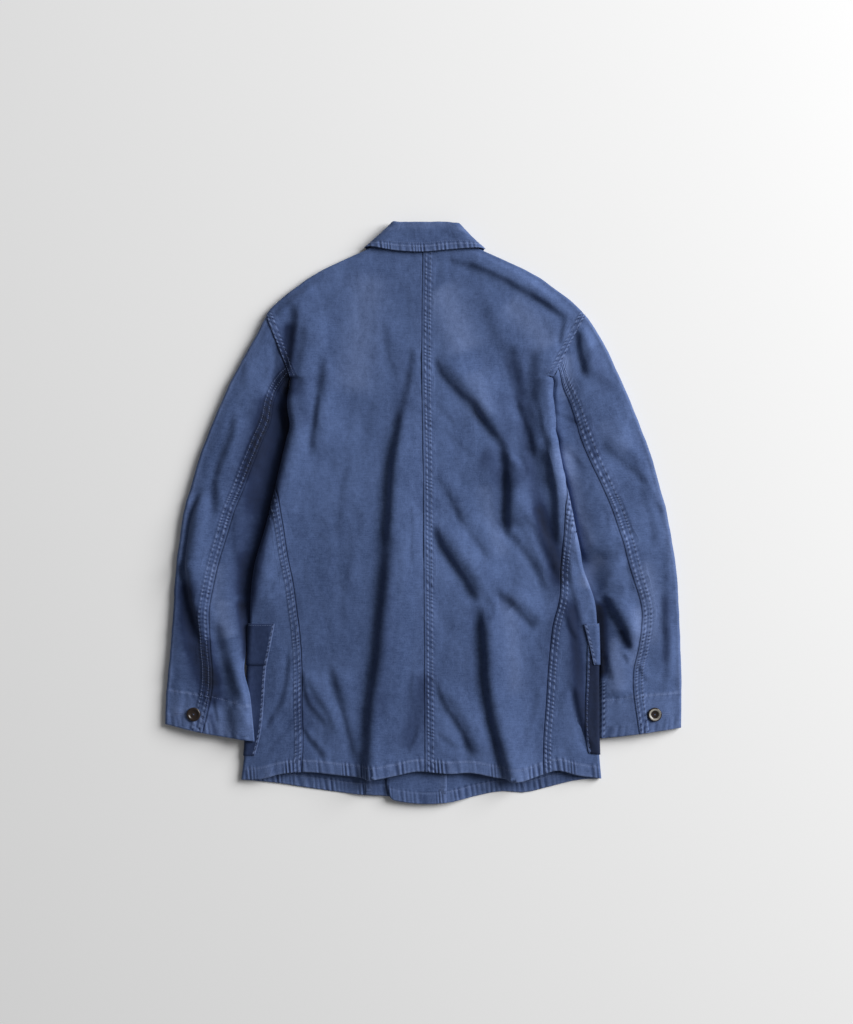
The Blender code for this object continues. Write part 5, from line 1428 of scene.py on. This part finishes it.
def cloth_material(name):
    """Washed cotton twill: a fine diagonal wale, mottled dye, pale fading on edges and puckers, painted light
    and shade.
    """
    graph = Graph(name)
    place = graph.tree.nodes.new("ShaderNodeUVMap")
    place.uv_map = "cloth"
    split = graph.tree.nodes.new("ShaderNodeSeparateXYZ")
    graph.tree.links.new(place.outputs[0], split.inputs[0])
    across, along = split.outputs[0], split.outputs[1]

    def spread(scale_across, scale_along, detail, roughness, gain):
        """Noise round 0, stretched along the cloth."""
        where = graph.node("ShaderNodeCombineXYZ", 0, X=graph.math("MULTIPLY", across, scale_across),
                           Y=graph.math("MULTIPLY", along, scale_along), Z=0.0)
        return graph.math("MULTIPLY_ADD", graph.noise(where, 1.0, detail, roughness), gain, -0.5 * gain)

    patches = spread(*PATCHES)
    blotches = spread(*BLOTCHES)
    mottle = spread(*MOTTLE)
    grain = spread(*GRAIN)
    slubs = spread(*SLUBS)
    yarns = spread(*YARNS)
    # the wale rises to the right across the weft
    wale_place = graph.math("MULTIPLY_ADD", along, WALE_SLANT, across)
    wale_turn = graph.math("MULTIPLY", wale_place, 2.0 * math.pi / (WALE_PITCH * MM))
    wale = graph.math("SINE", graph.math("MULTIPLY_ADD", yarns, WALE_UNEVEN, wale_turn))

    # stitch rows: light lines, and dark lines of painted shade in the seam's grooves and needle holes, partly
    # broken into dots
    seam, row_place = graph.attribute("seam"), graph.attribute("seam_across")
    phase = graph.math("ADD", graph.attribute("seam_along"), graph.math("MULTIPLY", row_place, SEAM_SKEW))

    def lines_along(table, sign):
        """The sum of a table's lines, each partly broken into dots."""
        total = 0.0
        turn = ripple(graph, phase, 0.0)
        for centre, width, strength, dotted in table:
            dots = graph.math("MULTIPLY_ADD", turn, sign * dotted * 0.5, 1.0 - dotted * 0.5)
            line = graph.math("MULTIPLY", bell(graph, row_place, centre, width), dots)
            total = graph.math("MULTIPLY_ADD", line, strength, total)
        return graph.math("MULTIPLY", total, seam)

    light, dark = lines_along(SEAM_LIGHT, 1.0), lines_along(SEAM_PAINTED_SHADE, -1.0)
    between = graph.math("MULTIPLY", graph.math("MULTIPLY", bell(graph, row_place, 0.7, 0.85), seam),
                         ripple(graph, phase, 0.2))
    hem = graph.math("MULTIPLY", ripple(graph, graph.attribute("hem_phase"), 0.0), graph.attribute("hem"))

    # fine creases: thin ridges of a warped noise, strongest beside the seams and in the hems
    ridged = graph.math("ABSOLUTE", spread(*CRINKLE, 2.0))
    crinkle = graph.math("EXPONENT", graph.math("MULTIPLY", ridged, CRINKLE_SHARPNESS))
    near_edge = graph.math("ADD", bell(graph, row_place, 0.5, 2.6), graph.attribute("hem"))
    strength = graph.math("ADD", near_edge, CRINKLE_BODY, clamp=True)
    crinkle = graph.math("MULTIPLY", crinkle, strength)

    tone = graph.math("ADD", graph.math("ADD", patches, blotches), graph.math("ADD", mottle, slubs))
    tone = graph.math("ADD", tone, graph.math("MULTIPLY_ADD", wale, WALE_TONE, TONE_MIDDLE))
    tone = graph.math("ADD", tone, grain, clamp=True)
    dye = graph.mix(tone, CLOTH_DEEP, CLOTH_PALE)
    # lighter seam lines, fading and painted highlights take the dye towards one pale colour
    wear_and_highlight = graph.math("ADD", light, graph.attribute("wear_and_highlight"))
    wear_and_highlight = graph.math("MULTIPLY_ADD", hem, HEM_WEAR, wear_and_highlight)
    wear_and_highlight = graph.math("MULTIPLY_ADD", crinkle, CRINKLE_WEAR, wear_and_highlight)
    wear_and_highlight = graph.math("MULTIPLY_ADD", between, BETWEEN_WEAR, wear_and_highlight, clamp=True)
    wear_and_highlight_mottle = graph.math("MULTIPLY_ADD", graph.math("ADD", mottle, grain), 1.1, 0.75, clamp=True)
    wear_and_highlight = graph.math("MULTIPLY", wear_and_highlight, wear_and_highlight_mottle)
    colour = graph.mix(wear_and_highlight, dye, CLOTH_WORN_AND_HIGHLIGHT)
    # painted shade from the shade attribute, the puckers' troughs and the seams' dark lines, towards two dark
    # colours
    painted_shade = graph.math("MULTIPLY_ADD", hem, -HEM_SHADE, graph.attribute("shade"))
    painted_shade = graph.math("ADD", graph.math("MULTIPLY_ADD", light, -LIGHT_IN_SHADE, painted_shade), dark)
    painted_shade = graph.math("MULTIPLY_ADD", between, -BETWEEN_SHADE, painted_shade)
    patchy = graph.math("MULTIPLY_ADD", graph.math("ADD", mottle, blotches), -SHADE_MOTTLE, 1.0)
    painted_shade = graph.math("MULTIPLY", painted_shade, patchy)
    colour = graph.mix(graph.math("ADD", painted_shade, 0.0, clamp=True), colour, CLOTH_SHADE)
    deepest = graph.math("ADD", painted_shade, -1.0, clamp=True)
    graph.link(graph.mix(deepest, colour, CLOTH_BLACK), graph.shader.inputs["Base Color"])

    rise = graph.math("MULTIPLY", hem, HEM_PUCKER)
    rise = graph.math("MULTIPLY_ADD", light, LIGHT_RISE, rise)
    rise = graph.math("MULTIPLY_ADD", crinkle, CRINKLE_RISE, rise)
    rise = graph.math("MULTIPLY_ADD", dark, -DARK_DEEP, rise)
    rise = graph.math("MULTIPLY_ADD", between, SEAM_PUCKER, rise)
    rise = graph.math("MULTIPLY_ADD", wale, WALE_RISE, rise)
    rise = graph.math("MULTIPLY_ADD", graph.math("ADD", mottle, grain), GRAIN_RISE, rise)
    rise = graph.math("MULTIPLY_ADD", blotches, BLOTCH_RISE, rise)
    bump = graph.tree.nodes.new("ShaderNodeBump")
    bump.inputs["Strength"].default_value = 1.0
    bump.inputs["Distance"].default_value = MM
    graph.link(rise, bump.inputs["Height"])
    graph.link(bump.outputs[0], graph.shader.inputs["Normal"])
    graph.link(graph.math("MULTIPLY_ADD", mottle, 0.06, CLOTH_ROUGHNESS), graph.shader.inputs["Roughness"])
    graph.shader.inputs["Specular IOR Level"].default_value = CLOTH_SPECULAR
    graph.shader.inputs["Sheen Weight"].default_value = CLOTH_SHEEN
    graph.shader.inputs["Sheen Roughness"].default_value = SHEEN_ROUGHNESS
    graph.shader.inputs["Sheen Tint"].default_value = SHEEN_TINT
    return graph.material


def thread_material():
    """Cotton sewing thread, with its twist."""
    graph = Graph("thread")
    place = graph.tree.nodes.new("ShaderNodeTexCoord").outputs["Object"]
    twist = graph.noise(place, 900.0, 2.0)
    graph.link(graph.mix(twist, THREAD, CLOTH_WORN_AND_HIGHLIGHT), graph.shader.inputs["Base Color"])
    graph.shader.inputs["Roughness"].default_value = 0.75
    return graph.material


def button_material(name, dark, light, roughness):
    """Polished horn-like plastic with clouded streaks; in pale colours, a painted highlight on it."""
    graph = Graph(name)
    place = graph.tree.nodes.new("ShaderNodeTexCoord").outputs["Object"]
    clouds = graph.noise(place, 260.0, 3.0, 0.6)
    share = graph.math("MULTIPLY_ADD", clouds, 1.6, -0.5, clamp=True)
    graph.link(graph.mix(share, dark, light), graph.shader.inputs["Base Color"])
    graph.link(graph.math("MULTIPLY_ADD", clouds, 0.15, roughness), graph.shader.inputs["Roughness"])
    return graph.material


def floor_material():
    """A matt pale backdrop."""
    graph = Graph("floor")
    place = graph.tree.nodes.new("ShaderNodeTexCoord").outputs["Object"]
    share = graph.noise(place, 1.5, 2.0)
    shade = tuple(0.985 * value for value in FLOOR[:3]) + (1.0,)
    graph.link(graph.mix(share, shade, FLOOR), graph.shader.inputs["Base Color"])
    graph.shader.inputs["Roughness"].default_value = 0.9
    graph.shader.inputs["Specular IOR Level"].default_value = 0.1
    return graph.material


cloth = cloth_material("cloth")
thread = thread_material()
button_dark = button_material("button_dark", BUTTON_DARK, BUTTON_BROWN, 0.22)
# a paler copy of the horn, for the painted highlight on the right button's lip
button_painted_highlight = button_material("button_painted_highlight", BUTTON_HIGHLIGHT_BASE, BUTTON_HIGHLIGHT_STREAK, 0.25)


# ---------------------------------------------------------------- body pieces

def back_arcs(row, side):
    """The arcs of a back's columns at a row."""
    if row < UNDERARM_ROW:
        start = float(seam_arc[side](row)) + SEAM_GAP / 2
    elif row < SHOULDER_ROW:
        start = float(edge_radius(row)) * math.pi / 2 + RIM_OVER
    else:
        start = SHOULDER_SEAM_ARC + SEAM_GAP / 2
    centre = float(arc_of_x(float(centre_x(row)) + SIGN[side] * SEAM_GAP / 2, row, side))
    if UNDERARM_ROW < row < SHOULDER_ROW:
        knot_x = armhole_x(row, side) - SIGN[side] * KNOT_INSET
    else:
        knot_x = float(body_edge(row, side)) - SIGN[side] * KNOT_INSET
    knot = max(float(arc_of_x(knot_x, row, side)), start + 13.0)
    before_seam = centre - 18.0
    return between((start, min(knot, before_seam - 6.0), before_seam, centre), BACK_COLUMNS)


def make_backs():
    lines = []
    for side in ("left", "right"):
        surface = body_surface(side, "back")
        rows = body_places(HEM_ROW, NECK_ROW)
        arcs = np.array([back_arcs(row, side) for row in rows])
        row_grid = np.broadcast_to(rows[:, None], arcs.shape)
        points = body_point(arcs, row_grid, side)
        piece = shell(f"back_{side}_cloth", f"back_{side}", cloth, surface, arcs, row_grid, points[..., :2])
        inner_rows = np.linspace(UNDERARM_ROW + 2.0, SHOULDER_ROW - 3.0, 60)
        for inset in ARMHOLE_STITCHES:
            x = armhole_x(inner_rows, side) - SIGN[side] * inset / ARMHOLE_LEAN
            lines.append(stitch_line(surface, arc_of_x(x, inner_rows, side), inner_rows))
        hem_x = np.linspace(HEM_STITCH_ENDS[side][0], HEM_STITCH_ENDS[side][1], 200)
        hem_row = np.full(hem_x.shape, HEM_ROW + HEM_DEPTH - HEM_STITCH_INSET)
        lines.append(stitch_line(surface, arc_of_x(hem_x, hem_row, side), hem_row))
        if side == "right":
            rows = np.linspace(HEM_ROW + 2.0, NECK_ROW - 6.0, 400)
            for inset in CENTRE_STITCHES:
                x = centre_x(rows) + inset
                lines.append(stitch_line(surface, arc_of_x(x, rows, side), rows))
    add_stitches("back_stitches", lines, thread)


def front_arcs(row, side):
    """The arcs of a front's columns, from its free edge under the body to the side seam."""
    edge = -float(arc_of_x(front_edge_x(row, side), row, side))
    if row < UNDERARM_ROW:
        end = float(seam_arc[side](row)) - SEAM_GAP / 2
    elif row < SHOULDER_ROW:
        end = -float(edge_radius(row)) * math.pi / 2 - RIM_OVER
    else:
        end = SHOULDER_SEAM_ARC - SEAM_GAP / 2
    turn = min(-14.0, end - 2.0)
    side_knot = turn - 14.0
    if end > 20.0:
        return between((edge, edge + 12.0, side_knot, turn, 8.0, end - 14.0, end), FRONT_COLUMNS)
    step = (end - turn) / 3.0
    return between((edge, edge + 12.0, side_knot, turn, turn + step, turn + 2.0 * step, end), FRONT_COLUMNS)


def make_fronts():
    lines = []
    for side in ("left", "right"):
        surface = body_surface(side, "front")
        rows = body_places(HEM_ROW, NECK_ROW)
        arcs = np.array([front_arcs(row, side) for row in rows])
        row_grid = np.broadcast_to(rows[:, None], arcs.shape)
        points = body_point(arcs, row_grid, side)
        uv = np.stack([SIGN[side] * arcs, points[..., 1]], axis=-1)
        piece = shell(f"front_{side}_cloth", f"front_{side}", cloth, surface, arcs, row_grid, uv,
                      inside=front_inside(side))
        rows = np.linspace(HEM_ROW + 1.0, SIDE_STITCH_TOP, 300)
        for inset in SIDE_STITCHES:
            arcs = seam_arc[side](rows) - inset
            seen = arcs > 1.0
            lines.append(stitch_line(surface, arcs[seen], rows[seen]))
        arcs = np.linspace(4.0, float(seam_arc[side](HEM_ROW + HEM_DEPTH)) - 1.0, 80)
        lines.append(stitch_line(surface, arcs, np.full(arcs.shape, HEM_ROW + HEM_DEPTH - HEM_STITCH_INSET)))
        inner = front_inside(side)
        edge = -float(arc_of_x(front_edge_x(HEM_ROW + HEM_DEPTH, side), HEM_ROW + HEM_DEPTH, side))
        arcs = np.linspace(edge + 4.0, -16.0, 200)
        flipped = lambda arc, row: (lambda got: (got[0], -got[1], got[2]))(inner(arc, row))
        lines.append(stitch_line(flipped, arcs, np.full(arcs.shape, HEM_ROW + HEM_DEPTH - HEM_STITCH_INSET)))
    add_stitches("front_stitches", lines, thread)


def make_facings():
    for side in ("left", "right"):
        def surface(arc, row, side=side):
            point = body_point(arc, row, side)
            normal = outward_normals(lambda a, r: body_point(a, r, side), arc, row, -SIGN[side])
            return point - normal * (WALL + FACING_LAYER), normal, Relief(arc.shape)

        def inside(arc, row, side=side):
            point, normal, _ = surface(arc, row)
            x, y = point[..., 0], point[..., 1]
            relief = Relief(arc.shape)
            relief.add_hem(np.abs(x - FACING_INNER_X[side]), y, 7.0, 43.0, 0.8, 0.4)
            relief.add_hem(y - front_hem_y[side](x), x, HEM_DEPTH, 47.0, 0.7)
            relief.height *= 0.5
            return point - normal * (FACING_WALL + relief.height[..., None]), normal, relief

        rows = body_places(HEM_ROW + 0.5, FACING_TOP_ROW)
        rows = np.concatenate([rows[rows < -330.0], rows[rows >= -330.0][::4], [FACING_TOP_ROW]])
        arcs = []
        for row in rows:
            edge = arc_of_x(front_edge_x(row, side), row, side)
            inner_arc = arc_of_x(FACING_INNER_X[side], row, side)
            arcs.append(np.linspace(-float(edge) + 0.8, -float(inner_arc), FACING_COLUMNS))
        arcs = np.array(arcs)
        row_grid = np.broadcast_to(rows[:, None], arcs.shape)
        points = body_point(arcs, row_grid, side)
        piece = shell(f"facing_{side}_cloth", f"facing_{side}", cloth, surface, arcs, row_grid,
                      points[..., :2], inside=inside)


def make_pockets():
    lines = []
    for side in ("left", "right"):
        body = body_surface(side, "front")
        rear = curve_through(POCKET_REAR, 1 if side == "left" else 2)
        flap_rear = lines_through(FLAP_REAR[side])
        one = LAYER_GAP + WALL
        for kind, ends, lift, back_edge, front_arc in (
            ("pocket", (POCKET_ROWS[0], POCKET_ROWS[-1]), one, rear, POCKET_FRONT_ARC),
            ("flap", (FLAP_ROWS[0], FLAP_ROWS[-1]), 2.0 * one, flap_rear, POCKET_FRONT_ARC - 1.5),
        ):
            edge_of = lambda arc, row, back_edge=back_edge: back_edge(row) - arc
            surface = lifted(body, lift, edge_of, PATCH_STITCH, 53.0, PATCH_SHADE[side][kind])
            rows = np.arange(ends[0], ends[1] + 0.1, (ends[1] - ends[0]) / round((ends[1] - ends[0]) / 3.0))
            arcs = np.array([between((front_arc, -16.0, 0.0, float(back_edge(row))), PATCH_COLUMNS)
                             for row in rows])
            row_grid = np.broadcast_to(rows[:, None], arcs.shape)
            uv = np.stack([SIGN[side] * arcs, row_grid], axis=-1)
            piece = shell(f"{kind}_{side}_cloth", f"{kind}_{side}", cloth, surface, arcs, row_grid, uv)
            along = np.linspace(ends[0] + 1.0, ends[1] - 1.0, 80)
            lines.append(stitch_line(surface, back_edge(along) - PATCH_STITCH, along))
            across = np.linspace(2.0, float(back_edge(ends[1])) - 2.0, 30)
            lines.append(stitch_line(surface, across, np.full(across.shape, ends[1] - 2.0)))
    add_stitches("pocket_stitches", lines, thread)


# ---------------------------------------------------------------- sleeves

def turn_places(start, end, tight):
    """Turns from start to end, closer together round the tight places."""
    fine = np.linspace(start, end, 801)
    density = np.ones_like(fine)
    for centre, reach, share in tight:
        density += share * (np.abs(fine - centre) < reach)
    walked = np.concatenate(([0.0], np.cumsum((density[1:] + density[:-1]) / 2.0)))
    return np.interp(np.linspace(0.0, walked[-1], SLEEVE_COLUMNS + 1), walked, fine)


def make_sleeves():
    lines = []
    for side in ("left", "right"):
        surface, seam_turn = sleeve_surface(side)
        last = float(len(SLEEVE[side]) - 1)
        places = np.concatenate([np.arange(0.0, last - 0.35, 0.066), np.linspace(last - 0.33, last, 9)])
        gap = SEAM_GAP / 2 / SLEEVE_WIDTH
        for kind in ("top", "under"):
            turns = []
            for place in places:
                seam = float(seam_turn(place))
                tight = [(0.0, 0.10, 3.0), (1.0, 0.07, 5.0), (seam, 0.14, 2.5)]
                if kind == "top":
                    turns.append(turn_places(FOREARM_SEAM + gap, seam - gap, tight))
                else:
                    turns.append(turn_places(seam + gap, 2.0 + FOREARM_SEAM - gap, tight))
            turns = np.array(turns)
            place_grid = np.broadcast_to(places[:, None], turns.shape)
            uv = np.stack([SIGN[side] * turns * SLEEVE_WIDTH, -place_grid * SLEEVE_STATION], axis=-1)
            piece = shell(f"sleeve_{kind}_{side}_cloth", f"sleeve_{kind}_{side}", cloth, surface,
                          turns, place_grid, uv)
        places = np.linspace(0.1, last - 0.05, 500)
        for inset in ELBOW_STITCHES:
            turns = seam_turn(places) - inset / SLEEVE_WIDTH
            seen = turns < 0.9
            lines.append(stitch_line(surface, turns[seen], places[seen]))
        cuff = last - (CUFF_DEPTH - HEM_STITCH_INSET) / SLEEVE_STATION
        seam = float(seam_turn(cuff))
        for start, end in ((0.03, seam - 0.01), (seam + 0.01, 0.93)):
            turns = np.linspace(start, end, 100)
            slant = CUFF_SLANT[side] * np.maximum(turns - seam, 0.0) / SLEEVE_STATION
            lines.append(stitch_line(surface, turns, cuff + slant))
        places = np.linspace(cuff, last - 0.03, 60)
        lines.append(stitch_line(surface, seam_turn(places) - 1.6 / SLEEVE_WIDTH, places))
    add_stitches("sleeve_stitches", lines, thread)


# ---------------------------------------------------------------- collar

def collar_point(place, inside):
    """A point of the collar's outer face, at a distance along the cloth from its free edge."""
    table = np.array(COLLAR, dtype=float)
    values = curve_through(np.column_stack([np.arange(len(table)), table]))(place)
    neck, roll, edge = values[..., 0:3], values[..., 3:6], values[..., 6:9]
    tilt, half_fold = np.radians(values[..., 9]), values[..., 10][..., None]
    left = (neck[..., 0] < 1.0)[..., None]
    flat = np.where(left, COLLAR_OUTWARD["left"], COLLAR_OUTWARD["right"]) * np.sin(tilt)[..., None]
    outward = np.concatenate([flat, np.cos(tilt)[..., None]], axis=-1)
    upward = roll - neck
    upward = upward - outward * np.sum(upward * outward, axis=-1, keepdims=True)
    upward = upward / np.linalg.norm(upward, axis=-1, keepdims=True)
    turn_start = roll - upward * half_fold
    hub = turn_start + outward * half_fold
    fall_start = hub + outward * half_fold
    fall = edge - fall_start
    fall_length = np.linalg.norm(fall, axis=-1, keepdims=True)
    stand = turn_start - neck
    stand_length = np.linalg.norm(stand, axis=-1, keepdims=True)
    inside = inside[..., None]
    angle = np.clip((inside - fall_length) / half_fold, 0.0, math.pi)
    on_fall = edge - fall * np.clip(inside / fall_length, 0.0, 1.0)
    on_fold = hub + half_fold * (outward * np.cos(angle) + upward * np.sin(angle))
    beyond = inside - fall_length - half_fold * math.pi
    on_stand = turn_start - stand * np.clip(beyond / stand_length, 0.0, 1.0)
    point = np.where(inside < fall_length, on_fall, np.where(beyond < 0.0, on_fold, on_stand))
    return point, (fall_length + half_fold * math.pi + stand_length)[..., 0]


def collar_surface(place, inside):
    """Points, normals and relief of the collar's outer face."""
    last = float(len(COLLAR) - 1)
    point, _ = collar_point(place, inside)
    before, after = np.clip(place - 0.03, 0.0, last), np.clip(place + 0.03, 0.0, last)
    along = collar_point(after, inside)[0] - collar_point(before, inside)[0]
    across = collar_point(place, inside + 0.25)[0] - collar_point(place, np.maximum(inside - 0.25, 0.0))[0]
    normal = np.cross(along, across)
    normal /= np.maximum(np.linalg.norm(normal, axis=-1, keepdims=True), 1e-9)
    relief = Relief(place.shape)
    x = point[..., 0]
    seen = window(place, *COLLAR_SEEN, 1.0)
    relief.add_hem(inside, x * HEM_PITCH / COLLAR_PITCH, COLLAR_HEM, 61.0, 1.0, 0.9)
    relief.height += 0.7 * washed(x, inside * 2.0, 7.0) * smoothstep(inside / 10.0)
    relief.limit(seen)
    fold = np.exp(-((inside - COLLAR_FALL) / 5.0) ** 2)
    relief.wear_and_highlight = np.maximum(relief.wear_and_highlight, 0.30 * fold)
    return point + normal * relief.height[..., None], normal, relief


def make_collar():
    last = len(COLLAR) - 1
    places = np.linspace(0.0, float(last), last * COLLAR_FINE + 1)
    _, length = collar_point(places, np.zeros(places.shape))
    shares = np.linspace(0.0, 1.0, COLLAR_COLUMNS + 1)
    inside = length[:, None] * shares[None, :]
    place_grid = np.broadcast_to(places[:, None], inside.shape)
    point, _ = collar_point(place_grid, inside)
    uv = np.stack([np.broadcast_to(point[:, :1, 0], inside.shape), inside], axis=-1)
    piece = shell("collar_cloth", "collar", cloth, collar_surface, place_grid, inside, uv)
    places = np.linspace(*COLLAR_STITCH_ENDS, 400)
    lines = [stitch_line(collar_surface, places, np.full(places.shape, inset), COLLAR_STITCH_PITCH)
             for inset in COLLAR_STITCHES]
    add_stitches("collar_stitches", lines, thread)


# ---------------------------------------------------------------- buttons

def on_sleeve(side, x, y):
    """The turn and the place of a point of the upper layer, found in a few steps."""
    surface, _ = sleeve_surface(side)
    turn, place = np.full(np.shape(x), 0.35), np.full(np.shape(x), 11.3)
    for _ in range(12):
        here = surface(turn, place)[0][..., :2]
        by_turn = (surface(turn + 0.01, place)[0][..., :2] - here) / 0.01
        by_place = (surface(turn, place + 0.02)[0][..., :2] - here) / 0.02
        miss_x, miss_y = x - here[..., 0], y - here[..., 1]
        size = by_turn[..., 0] * by_place[..., 1] - by_turn[..., 1] * by_place[..., 0]
        turn = turn + (miss_x * by_place[..., 1] - miss_y * by_place[..., 0]) / size
        place = place + (miss_y * by_turn[..., 0] - miss_x * by_turn[..., 1]) / size
        turn, place = np.clip(turn, 0.05, 0.95), np.clip(place, 10.5, 11.97)
    return surface, turn, place


def add_cuff_button(side, centre, normal):
    """A four-hole button with a dished middle; make_buttons adds the threads that sew it on."""
    mesh = bmesh.new()
    rings = []
    for radius_share, rise_share in BUTTON_TURNING:
        ring = []
        for step in range(BUTTON_STEPS):
            angle = 2.0 * math.pi * step / BUTTON_STEPS
            ring.append(mesh.verts.new((BUTTON_RADIUS * radius_share * math.cos(angle),
                                        BUTTON_RADIUS * radius_share * math.sin(angle),
                                        BUTTON_THICKNESS * rise_share)))
        rings.append(ring)
    # only the right button's rings get the painted highlight
    pale = BUTTON_HIGHLIGHT_RINGS if side == "right" else ()
    for index, (lower, upper) in enumerate(zip(rings, rings[1:])):
        for step in range(BUTTON_STEPS):
            after = (step + 1) % BUTTON_STEPS
            face = mesh.faces.new((lower[step], lower[after], upper[after], upper[step]))
            face.material_index = 1 if index in pale else 0
            face.smooth = True
    mesh.faces.new(list(reversed(rings[0])))
    mesh.faces.new(rings[-1])
    floor_rise = BUTTON_THICKNESS * BUTTON_TURNING[-1][1]
    for step in range(4):
        angle = math.radians(45.0 + 90.0 * step)
        # a hole is a dark disc of painted shade just over the dish, not a cut
        hub = Vector((BUTTON_HOLE_REACH * math.cos(angle), BUTTON_HOLE_REACH * math.sin(angle),
                      floor_rise + 0.02))
        hole = [mesh.verts.new(hub + Vector((BUTTON_HOLE * math.cos(a), BUTTON_HOLE * math.sin(a), 0.0)))
                for a in np.linspace(0.0, 2.0 * math.pi, 10, endpoint=False)]
        face = mesh.faces.new(hole)
        face.material_index = 2
    turn = Vector((0.0, 0.0, 1.0)).rotation_difference(Vector(normal)).to_matrix()
    for vertex in mesh.verts:
        vertex.co = (turn @ vertex.co + Vector(centre)) * MM
    data = bpy.data.meshes.new(f"button_cuff_{side}_turned")
    mesh.to_mesh(data)
    mesh.free()
    for material in (button_dark, button_painted_highlight, painted_hole_shade):
        data.materials.append(material)
    return finish_piece(data.name, data, (f"button_cuff_{side}",)), turn, floor_rise


def make_buttons():
    lines = []
    for side, (x, y) in CUFF_BUTTON.items():
        surface, turn, place = on_sleeve(side, np.array([x]), np.array([y]))
        point, normal, _ = surface(turn, place)
        _, rotation, floor_rise = add_cuff_button(side, point[0] + normal[0] * LAYER_GAP, normal[0])
        # two crossing threads between the holes
        for start, end in ((45.0, 225.0), (135.0, 315.0)):
            ends = [Vector((BUTTON_HOLE_REACH * math.cos(math.radians(a)),
                            BUTTON_HOLE_REACH * math.sin(math.radians(a)), floor_rise + 0.1))
                    for a in (start, end)]
            middle = (ends[0] + ends[1]) / 2.0
            base = Vector(point[0] + normal[0] * LAYER_GAP)
            centre = np.array(rotation @ middle + base)
            ahead = np.array((rotation @ (ends[1] - ends[0])).normalized())
            lines.append((centre[None, :], ahead[None, :], normal))
        # the buttonhole beside it, with its dense stitches
        low, high = BUTTONHOLE[side]
        along = np.linspace(low, high, 40)
        for offset in (-BUTTONHOLE_HALF, BUTTONHOLE_HALF):
            surface, turns, places = on_sleeve(side, along, np.full(along.shape, y + 1.0 + offset))
            lines.append(stitch_line(surface, turns, places, 1.1))
    add_stitches("button_threads", lines, thread)


# ---------------------------------------------------------------- the whole, light and camera

# dark discs of painted shade for the buttons' holes
painted_hole_shade = button_material("painted_hole_shade", BUTTON_DARK, BUTTON_DARK, 0.5)
make_fronts()
make_facings()
make_pockets()
make_backs()
make_sleeves()
make_collar()
make_buttons()
for number in range(1, len(FRONT_BUTTON_ROWS) + 1):
    for material_slot in bpy.data.objects[frame["nodes"][f"button_front_{number}"].name].material_slots:
        material_slot.material = button_dark

bpy.ops.mesh.primitive_plane_add(size=FLOOR_SIZE, location=(0.0, 0.0, FLOOR_DROP))
floor = bpy.context.object
floor.name = "floor"
floor.data.materials.append(floor_material())

world = bpy.data.worlds.new("studio")
world.use_nodes = True
world.node_tree.nodes["Background"].inputs["Color"].default_value = WORLD_COLOUR
world.node_tree.nodes["Background"].inputs["Strength"].default_value = WORLD_STRENGTH
bpy.context.scene.world = world
for name, place, size, energy in LIGHTS:
    lamp = bpy.data.lights.new(name, "AREA")
    lamp.size, lamp.energy = size, energy
    holder = bpy.data.objects.new(name, lamp)
    holder.location = place
    holder.rotation_euler = (-Vector(place)).to_track_quat("-Z", "Y").to_euler()
    bpy.context.collection.objects.link(holder)

camera = bpy.data.cameras.new("camera")
camera.lens, camera.sensor_width, camera.sensor_fit = LENS, SENSOR, "HORIZONTAL"
camera_holder = bpy.data.objects.new("camera", camera)
camera_holder.location = (CAMERA_X, CAMERA_Y, IMAGE_WIDTH * PIXEL * MM * LENS / SENSOR + CAMERA_PLANE)
bpy.context.collection.objects.link(camera_holder)
bpy.context.scene.camera = camera_holder
bpy.context.scene.view_settings.view_transform = "Standard"
